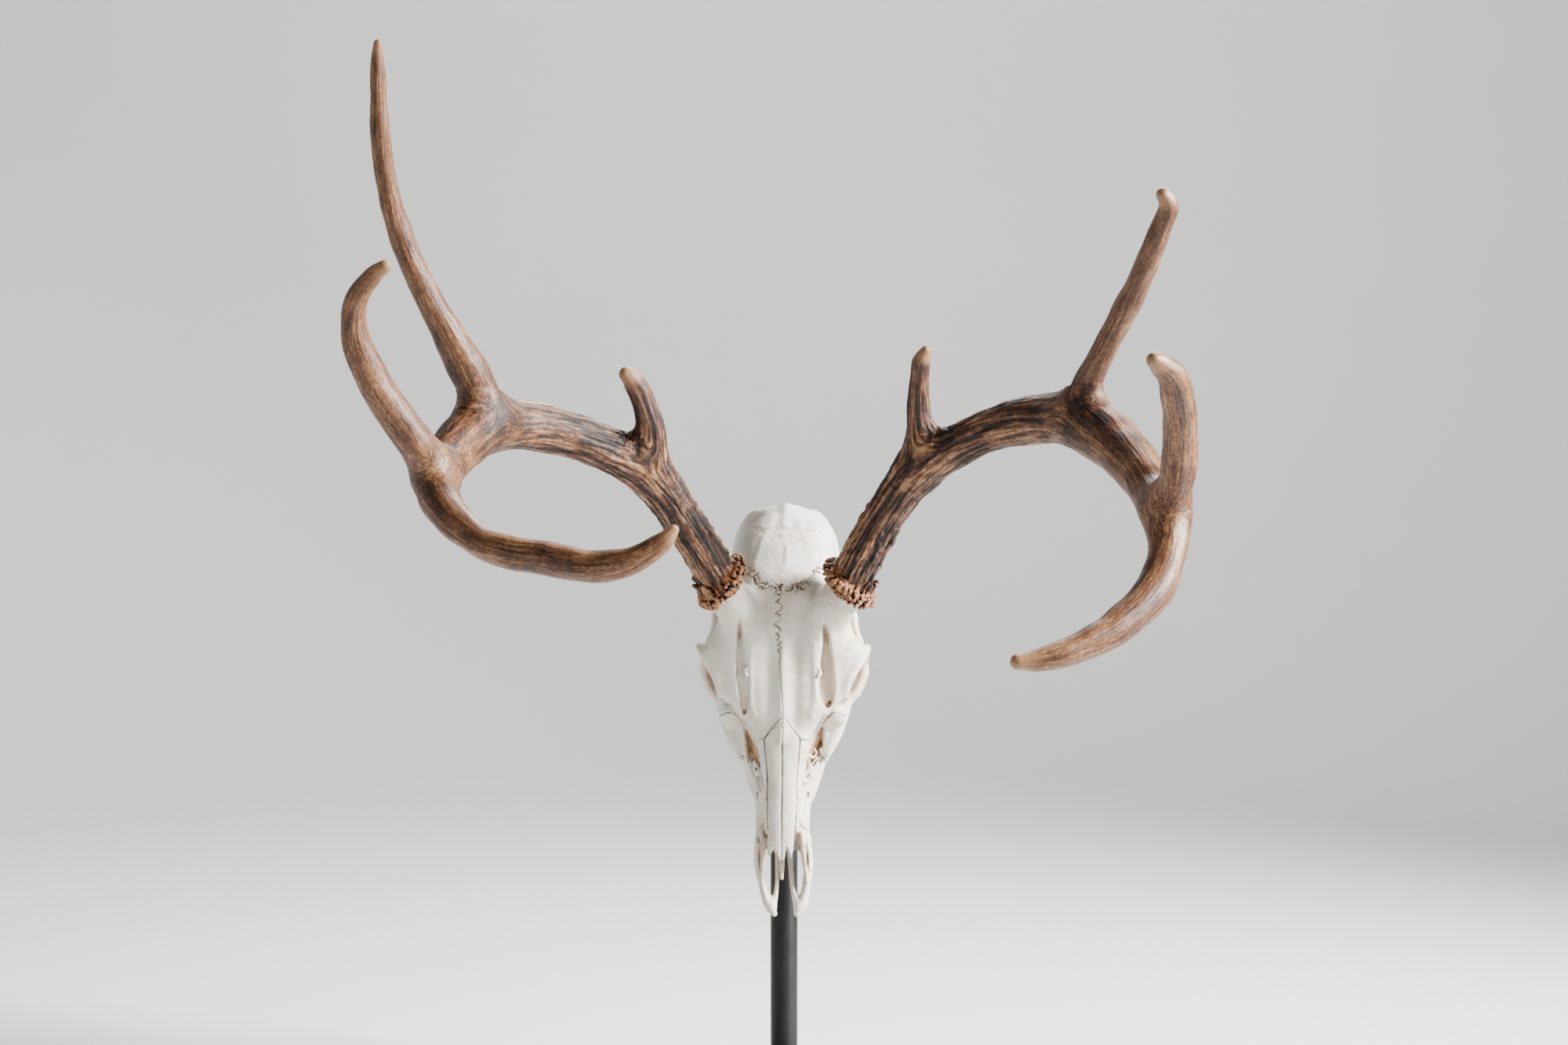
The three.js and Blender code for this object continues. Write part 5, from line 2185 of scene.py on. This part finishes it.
    def _relief(self, skin: Skin, block: Field, foot: bool) -> None:
        """Grooves the skin along its centre lines, and stores what the material needs.

        Args:
            skin: The surface, which is moved.
            block: The block that it comes from.
            foot: Whether the burr is on it.
        """
        points, normals = skin.points, skin.normals()
        grain, tip, run = self._followed(points)
        rough = 1 - ease(run, 70, 330)
        strength = (0.16 + 1.15 * rough) * (1 - 0.85 * tip)
        wide = 1 - 2 * np.abs(Noise(61).at(grain * (0.30, 0.30, 0.022) + 3))
        narrow = 1 - 2 * np.abs(Noise(62).at(grain * (0.62, 0.62, 0.045)))
        crinkle = Noise(63).layers(points / 3.6, 2)
        height = 0.55 * wide + 0.45 * narrow + 0.3 * crinkle * rough
        lumps = Noise(64).at(points / 17)
        burr = np.zeros(len(points))
        if foot:
            burr = self._burr_share(points)
            pits = Noise(65).layers(points / 2.2, 2)
            # painted shade: the burr's recesses get a lower height, which darkens them in the material
            # and sinks them a little
            shade = np.clip(1 - block.sample(points + normals * 2.2) / 2.2, 0, 1.3)
            height = height * (1 - burr) + burr * (1.0 + 0.5 * pits - 1.5 * shade)
        move = strength * (height - 0.25) * (1 - 0.75 * burr) + 0.75 * lumps * (1 - tip)
        skin.points = points + normals * move[:, None]
        skin.values["grain"] = grain / 10
        # height carries the grooves and, on the burr, painted shade
        skin.values["height"] = height * (0.35 + 0.65 * rough)
        skin.values["tip"] = np.clip(tip, 0, 1)
        skin.values["pale"] = ease(run, 40, 420)
        skin.values["burr"] = burr

    def _followed(self, points: Array) -> tuple[Array, Array, Array]:
        """What the centre lines say about each place, blended where they meet.

        Args:
            points: Places on the surface.

        Returns:
            Where it is round the antler and along it, how near a tip, and how far from the foot.
        """
        total = np.zeros((len(points), 6))
        for name, line in self.lines.items():
            near = line.nearest(points)
            offset = points - line.points[near]
            along = np.einsum("ij,ij->i", offset, line.along[near])
            side = np.einsum("ij,ij->i", offset, line.side[near])
            rise = np.einsum("ij,ij->i", offset, np.cross(line.side[near], line.along[near]))
            off = np.hypot(side, rise) + 1e-6
            radius = line.radius[near]
            length = line.length[near] + along
            beyond = np.maximum(np.abs(along) - radius * 0.5, 0)
            weight = np.exp(-np.clip(np.hypot(off, beyond) - radius, -2, 60) / 4.5)
            even = (9.0 + 0.35 * radius) / off
            tip = ease(line.length[-1] - length, self.tip_reach, 2.0)
            run = length if name == "beam" else length + 55
            told = [side * even, rise * even, length, tip, run, np.ones(len(points))]
            total += weight[:, None] * np.stack(told, axis=1)
        total /= total[:, 5:]
        return total[:, :3], total[:, 3], total[:, 4]

    def _burr_share(self, points: Array) -> Array:
        """How much of the burr is at each place.

        Args:
            points: Places on the surface.

        Returns:
            The share, from 0 to 1.
        """
        base = np.array(self.beam[0][:3], float)
        normal = unit(np.array(self.burr_normal, float))
        rise = (points - base) @ normal
        out = np.linalg.norm(points - base - rise[:, None] * normal, axis=1)
        share = ease(out, 13.5, 17.5) * ease(rise, 9, 5) + ease(rise, 12, 3) * 0.35
        return np.clip(share, 0, 1)


def left_antler() -> Antler:
    """The deer's left antler.

    Returns:
        The antler, ready to be built.
    """
    return Antler(
        side=Side.LEFT,
        beam=[(44, -15, 383, 13), (54, -28, 404, 13.5), (68, -40, 430, 13), (84, -53, 453, 14),
              (105, -68, 469, 13.5), (129, -85, 482, 13), (152, -105, 488, 15),
              (176, -130, 489, 16), (194, -160, 478, 17), (206, -190, 462, 15),
              (215, -220, 443, 14), (219, -245, 425, 13), (215.5, -262, 405, 10.6),
              (204, -280, 385, 10.8), (181, -297, 366, 9.4), (157, -308, 355, 8.3),
              (137, -314, 350, 6.2), (126, -317, 349, 4.5)],
        forks={"brow": 3, "second": 7, "third": 11},
        tines={
            "brow": [(87, -58, 460, 6), (89, -65, 478, 8.4), (87, -78, 505, 6.6),
                     (88, -89, 526, 5.6), (91, -94, 534, 3.4)],
            "second": [(181, -140, 494, 9.5), (187, -153, 511, 8.8), (195.5, -170, 532, 7.6),
                       (204.5, -185, 552, 7.8), (212.5, -203, 573, 7.1), (219, -219, 594, 6.5),
                       (222.5, -229, 606, 5.8), (218.5, -234, 613, 4.2)],
            "third": [(218, -244, 434, 9.0), (222, -263, 452, 10.0), (220, -280, 475, 9.7),
                      (216, -295, 491, 9.3), (210, -310, 503, 8), (202, -320, 509, 6),
                      (198, -324, 511, 4.3)],
        },
        burr_normal=(0.62, -0.38, 0.69),
        stretches=(
            Stretch("foot", 0, 5, ("brow",), ("beam_base", "tine_brow"), 0.69),
            Stretch("middle", 5, 9.2, ("second",), ("beam_middle", "tine_second"), 0.8),
            Stretch("fore", 9.2, 17, ("third",), ("beam_fore", "beam_tip", "tine_third"), 0.86),
        ),
    )


def right_antler() -> Antler:
    """The deer's right antler.

    Returns:
        The antler, ready to be built.
    """
    return Antler(
        side=Side.RIGHT,
        beam=[(-42, -14, 384, 13), (-56, -30, 407, 13), (-72, -42, 433, 13), (-89, -55, 456, 14.5),
              (-115, -72, 472, 14), (-143, -92, 482, 14.5), (-169, -114, 486, 16),
              (-187, -142, 482, 17), (-198, -176, 468, 15.4), (-203, -213, 450, 13.4),
              (-194, -240, 431, 11), (-173, -259, 414, 9), (-153, -272, 407, 9.3),
              (-130, -283, 404, 9.5), (-108, -293, 400, 9.1), (-86, -300, 402, 8.0),
              (-68, -303, 412, 5.8), (-60, -304, 420, 3.0)],
        forks={"brow": 3, "second": 7, "third": 9},
        tines={
            "brow": [(-87, -59, 462, 6), (-86, -72, 482, 8.6), (-91, -84, 503, 7.6),
                     (-97, -91, 515, 6.4), (-101, -94, 519, 4.8)],
            "second": [(-184, -141, 494, 11.5), (-192.5, -154, 516, 12.2), (-210.5, -171, 551, 8.6),
                       (-224, -184, 582, 7.8), (-232.5, -197, 611, 6.8), (-236, -210, 639, 5.9),
                       (-236, -222, 669, 4.9), (-235, -230, 690, 3.9), (-234, -234, 700, 2.6)],
            "third": [(-205, -217, 458, 10), (-213, -235, 471, 10.8), (-229, -250, 497, 10),
                      (-239, -261, 520, 9), (-241, -270, 536, 7.2), (-237, -278, 549, 6.3),
                      (-228, -285, 560, 5), (-220, -289, 565, 3.8)],
        },
        burr_normal=(-0.72, -0.38, 0.58),
        stretches=(
            Stretch("foot", 0, 5, ("brow",), ("beam_base", "tine_brow"), 0.69),
            Stretch("middle", 5, 11.2, ("second", "third"),
                    ("beam_middle", "beam_fore", "tine_second", "tine_third"), 0.88),
            Stretch("fore", 11.2, 17, (), ("beam_tip",), 0.78),
        ),
    )


# ---- the stand ----


def turned_mesh(name: str, profile: Stops, centre: Sequence[float],
                sides: int = 96) -> Piece:
    """A closed turned body about an upright axis.

    Args:
        name: Its name.
        profile: (radius, height) from the bottom of the axis to its top.
        centre: Where its axis stands.
        sides: How many sides it has.

    Returns:
        The object, in metres.
    """
    rings = [p for p in profile if p[0] > 0]
    angles = np.linspace(0, 2 * math.pi, sides, endpoint=False)
    points = [(centre[0] + r * math.cos(a), centre[1] + r * math.sin(a), centre[2] + z)
              for r, z in rings for a in angles]
    faces = []
    closed = profile[0][0] > 0
    for i in range(len(rings) - (0 if closed else 1)):
        j = (i + 1) % len(rings)
        for k in range(sides):
            n = (k + 1) % sides
            faces.append((i * sides + k, i * sides + n, j * sides + n, j * sides + k))
    if not closed:
        faces.append(tuple(range(sides - 1, -1, -1)))
        faces.append(tuple(range((len(rings) - 1) * sides, len(rings) * sides)))
    return mesh_object(name, points, faces)


def mesh_object(name: str, points: list, faces: list) -> Piece:
    """A mesh as an object in the scene.

    Args:
        name: Its name.
        points: Its corners in millimetres.
        faces: The numbers of each face's corners.

    Returns:
        The object, in metres.
    """
    mesh = bpy.data.meshes.new(name)
    mesh.from_pydata([tuple(c / 1000 for c in p) for p in points], [], faces)
    mesh.update()
    made = bpy.data.objects.new(name, mesh)
    bpy.context.scene.collection.objects.link(made)
    return made


def soften(piece: Piece, width: float, angle: float = 32.0) -> None:
    """Rounds an object's sharp edges and shades the rest smooth.

    Args:
        piece: The object.
        width: The rounding's width in millimetres.
        angle: Edges sharper than this are rounded, in degrees.
    """
    rounding = piece.modifiers.new("rounded_edges", "BEVEL")
    rounding.width = width / 1000
    rounding.segments = 3
    rounding.limit_method = "ANGLE"
    rounding.angle_limit = math.radians(angle)
    piece.data.shade_smooth()


@dataclass
class Stand:
    """The steel stand: a plate, a post, a hook into the skull and an arm under the palate.

    Attributes:
        pose: How the skull hangs.
        post_back: How far behind the stand's middle the post is.
        seat: Where the pad bears on the palate, in the skull's frame.
        pad_gap: What is left free between them.
        rod_step: The pitch for the bent rod and the arm.
    """

    pose: SkullPose
    post_back: float = 121.0
    post_radius: float = 10.0
    post_top: float = 404.0
    arm_height: float = 214.0
    plate_width: float = 300.0
    plate_front: float = -150.0
    plate_back: float = 180.0
    plate_thickness: float = 8.0
    plate_corner: float = 30.0
    seat: tuple = (0.0, 98.0, 7.0)
    pad_gap: float = 0.8
    pad_thickness: float = 5.0
    rod_step: float = 0.5

    def build(self) -> list[Piece]:
        """Builds and dresses the stand's parts."""
        return [self._plate(), *self._post(), self._hook(), *self._arm(), self._pad()]

    def _finish(self, piece: Piece, finish: Finish, node: str) -> Piece:
        """Dresses one part and ties it to the node that it stands for.

        Args:
            piece: The part.
            finish: Its finish.
            node: The node's name.

        Returns:
            The same part.
        """
        piece.data.materials.clear()
        piece.data.materials.append(finish.material())
        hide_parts(node)
        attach(piece, "root")
        return piece

    def _plate(self) -> Piece:
        """The base plate, with round corners and a soft edge.

        Returns:
            The plate.
        """
        half, corner = self.plate_width / 2, self.plate_corner
        spots = ((half - corner, self.plate_front + corner, -90),
                 (half - corner, self.plate_back - corner, 0),
                 (-half + corner, self.plate_back - corner, 90),
                 (-half + corner, self.plate_front + corner, 180))
        outline = []
        for x, y, start in spots:
            for k in range(17):
                angle = math.radians(start + 90 * k / 16)
                outline.append((x + corner * math.cos(angle), y + corner * math.sin(angle)))
        n = len(outline)
        points = [(x, y, 0.0) for x, y in outline]
        points += [(x, y, self.plate_thickness) for x, y in outline]
        faces = [tuple(range(n - 1, -1, -1)), tuple(range(n, 2 * n))]
        faces += [(k, (k + 1) % n, n + (k + 1) % n, n + k) for k in range(n)]
        plate = mesh_object("stand_plate", points, faces)
        soften(plate, 1.2, 60)
        return self._finish(plate, STEEL, "stand_base")

    def _post(self) -> list[Piece]:
        """The post with its foot, and the foot's screws.

        Returns:
            The post and each screw.
        """
        foot = self.plate_thickness + 0.3
        r = self.post_radius
        profile = [(0, foot), (26.2, foot), (27, foot + 0.8), (27, foot + 4.2), (26.2, foot + 5)]
        for k in range(7):
            angle = math.radians(90 * k / 6)
            profile.append((r + 6 * (1 - math.sin(angle)), foot + 5 + 6 * (1 - math.cos(angle))))
        profile += [(r, self.post_top - 1.6), (r - 0.5, self.post_top - 0.5),
                    (r - 1.6, self.post_top), (0, self.post_top)]
        post = turned_mesh("stand_upright", profile, (0, self.post_back, 0))
        post.data.shade_smooth()
        made = [self._finish(post, STEEL, "stand_post")]
        for k in range(4):
            angle = math.radians(45 + 90 * k)
            x, y = 21.5 * math.cos(angle), self.post_back + 21.5 * math.sin(angle)
            ring = [(0.9, 1.1), (0.9, 2.4), (2.6, 2.4), (3.4, 1.7), (3.6, 0.1), (3.6, 0),
                    (0.02, 0.0), (0.02, 1.1)]
            screw = turned_mesh(f"stand_screw_{k + 1}", ring, (x, y, foot + 5.05), 24)
            soften(screw, 0.2)
            made.append(self._finish(screw, STEEL, "stand_post"))
        return made

    def _hook(self) -> Piece:
        """The bent rod over the post's top and down into the hole at the back of the skull.

        Returns:
            The rod.
        """
        y, z = self.post_back, self.post_top
        stops = [(0, y, z + 4.4, 4), (0, y - 0.5, z + 17, 4), (0, y - 5, z + 25, 4),
                 (0, y - 14, z + 29, 4), (0, y - 23, z + 26, 4), (0, y - 33, z + 17.5, 4),
                 (0, y - 46, z + 6, 4)]
        block = Field((-8, y - 58, z - 2), (8, y + 8, z + 38), self.rod_step)
        block.add(Tube(stops, fine=8))
        block.keep(z + 0.4 - block.axes()[2])
        skin = block.skin().eased(1)
        hook = skin.as_object("stand_bent_rod", Matrix.Identity(4), STEEL.material())
        return self._finish(hook, STEEL, "stand_hook")

    def _arm_ends(self) -> tuple[Vector, Vector]:
        """Where the pad bears on the palate.

        Returns:
            The middle of the pad's face, and the way from it to the arm.
        """
        matrix = self.pose.matrix()
        out = (matrix.to_3x3() @ Vector((0, 0, -1))).normalized()
        return matrix @ Vector(self.seat), out

    def _arm(self) -> list[Piece]:
        """The collar on the post, its clamping screw, and the rod under the palate.

        Returns:
            The collar, the rod and the screw's knob.
        """
        seat, out = self._arm_ends()
        end = seat + out * (self.pad_gap + self.pad_thickness + 0.7)
        root = Vector((0, self.post_back - 12.5, self.arm_height))
        inner, outer, height = self.post_radius + 0.3, 15.0, 20.0
        ring = [(inner, 0.4), (inner + 0.4, 0), (outer - 0.8, 0), (outer, 0.8), (outer, height - 0.8),
                (outer - 0.8, height), (inner + 0.4, height), (inner, height - 0.4)]
        collar = turned_mesh("stand_collar", ring,
                             (0, self.post_back, self.arm_height - height / 2))
        soften(collar, 0.3)
        block = Field((-7, min(end.y, root.y) - 8, min(end.z, root.z) - 8),
                      (7, max(end.y, root.y) + 8, max(end.z, root.z) + 8), self.rod_step)
        block.add(Tube([(*root, 4), (*((root + end) / 2), 4), (*(end - (end - root) * 0.02), 3.7)],
                       fine=4))
        rod = block.skin().eased(1).as_object("stand_rod", Matrix.Identity(4), STEEL.material())
        knob_profile = [(3.0, 0), (3.0, 3.2), (7.4, 3.2), (8.0, 4.0), (8.0, 9.0), (7.2, 10.0),
                        (0.02, 10.0), (0.02, 0)]
        knob = turned_mesh("stand_clamp_knob", knob_profile, (0, 0, 0), 48)
        knob.data.transform(Matrix.Translation(Vector((0, self.post_back + 15.2, self.arm_height))
                                               / 1000) @ Matrix.Rotation(-math.pi / 2, 4, "X"))
        soften(knob, 0.3)
        return [self._finish(piece, STEEL, "stand_arm") for piece in (collar, rod, knob)]

    def _pad(self) -> Piece:
        """The rubber pad that bears on the palate.

        Returns:
            The pad.
        """
        seat, out = self._arm_ends()
        profile = [(0, 0), (7.4, 0), (8.6, 0.5), (9.0, 1.4), (9.0, 4.2), (8.4, 5.0), (0, 5.0)]
        pad = turned_mesh("stand_rubber_pad", profile, (0, 0, 0), 64)
        turn = Vector((0, 0, 1)).rotation_difference(out).to_matrix().to_4x4()
        pad.data.transform(Matrix.Translation((seat + out * self.pad_gap) / 1000) @ turn)
        soften(pad, 0.4)
        return self._finish(pad, RUBBER, "stand_pad")


# ---- the studio ----


@dataclass
class Studio:
    """The pale floor and backdrop, the lights and the camera."""

    camera_y: float = -1.489
    camera_z: float = 0.424
    lens: float = 50.0

    def build(self) -> None:
        """Sets the stage."""
        self._backdrop()
        self._lights()
        self._camera()

    def _backdrop(self) -> None:
        """One sheet: a round floor that bends up into a wall on every side."""
        rings = [(0.02, 0.0), (1.0, 0.0), (2.2, 0.0)]
        for k in range(1, 25):
            angle = math.radians(90 * k / 24)
            rings.append((2.2 + 1.6 * math.sin(angle), 1.6 * (1 - math.cos(angle))))
        rings.append((3.8, 3.6))
        sides = 128
        points = [(1000 * r * math.cos(2 * math.pi * k / sides),
                   1000 * r * math.sin(2 * math.pi * k / sides), 1000 * z - 0.2)
                  for r, z in rings for k in range(sides)]
        faces = [tuple(range(sides))]
        faces += [(i * sides + k, i * sides + (k + 1) % sides, (i + 1) * sides + (k + 1) % sides,
                   (i + 1) * sides + k) for i in range(len(rings) - 1) for k in range(sides)]
        sheet = mesh_object("backdrop", points, faces)
        sheet.data.shade_smooth()
        sheet.data.materials.append(PAPER.material())

    def _lights(self) -> None:
        """A soft key from the right, a weak fill from the left and a rim from above behind."""
        self._area("key", (1.95, -0.52, 1.25), (0.02, 0, 0.36), 0.7, 72.0, (1.0, 0.985, 0.96), 80)
        self._area("fill", (-1.9, -1.7, 0.7), (0, 0, 0.4), 1.8, 3.0, (0.93, 0.96, 1.0))
        self._area("rim", (0.4, 1.6, 2.1), (0, -0.05, 0.45), 0.9, 14.0, (1.0, 1.0, 1.0), 80)
        self._area("wash", (0, 0.9, 3.2), (0, 3.6, 0.7), 2.2, 60.0, (1.0, 1.0, 1.0), 120)
        world = bpy.data.worlds.new("studio")
        world.use_nodes = True
        bpy.context.scene.world = world
        sky = next(n for n in world.node_tree.nodes if n.type == "BACKGROUND")
        sky.inputs["Color"].default_value = (0.95, 0.97, 1.0, 1.0)
        sky.inputs["Strength"].default_value = 0.17

    @staticmethod
    def _area(name: str, place: tuple, target: tuple, size: float, power: float,
              colour: tuple, spread: float = 180.0) -> None:
        """Adds one area light that faces a target.

        Args:
            name: Its name.
            place: Where it stands, in metres.
            target: What it faces.
            size: Its side.
            power: Its power in watts.
            colour: Its colour.
            spread: How wide its beam is, in degrees.
        """
        lamp = bpy.data.lights.new(name, "AREA")
        lamp.spread = math.radians(spread)
        lamp.size = size
        lamp.energy = power
        lamp.color = colour
        made = bpy.data.objects.new(name, lamp)
        made.location = place
        made.rotation_euler = (Vector(target) - Vector(place)).to_track_quat("-Z", "Y").to_euler()
        bpy.context.scene.collection.objects.link(made)

    def _camera(self) -> None:
        """A level camera in front of the face."""
        data = bpy.data.cameras.new("camera")
        data.lens = self.lens
        data.sensor_width = 36.0
        data.clip_start = 0.05
        camera = bpy.data.objects.new("camera", data)
        camera.location = (0, self.camera_y, self.camera_z)
        camera.rotation_euler = Euler((math.radians(90), 0, 0))
        bpy.context.scene.collection.objects.link(camera)
        bpy.context.scene.camera = camera


def main() -> None:
    """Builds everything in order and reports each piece."""
    logging.basicConfig(level=logging.INFO, format="%(name)s: %(message)s")
    pose = SkullPose()
    back = pose.matrix().inverted()
    antlers = [left_antler(), right_antler()]
    feet = {a.side: np.array(back @ Vector(a.beam[0][:3])) for a in antlers}
    for assembly in (Skull(pose, feet), *antlers, Stand(pose)):
        for piece in assembly.build():
            LOG.info("%s: %d faces", piece.name, len(piece.data.polygons))
    Studio().build()


if __name__ == "__main__":
    main()
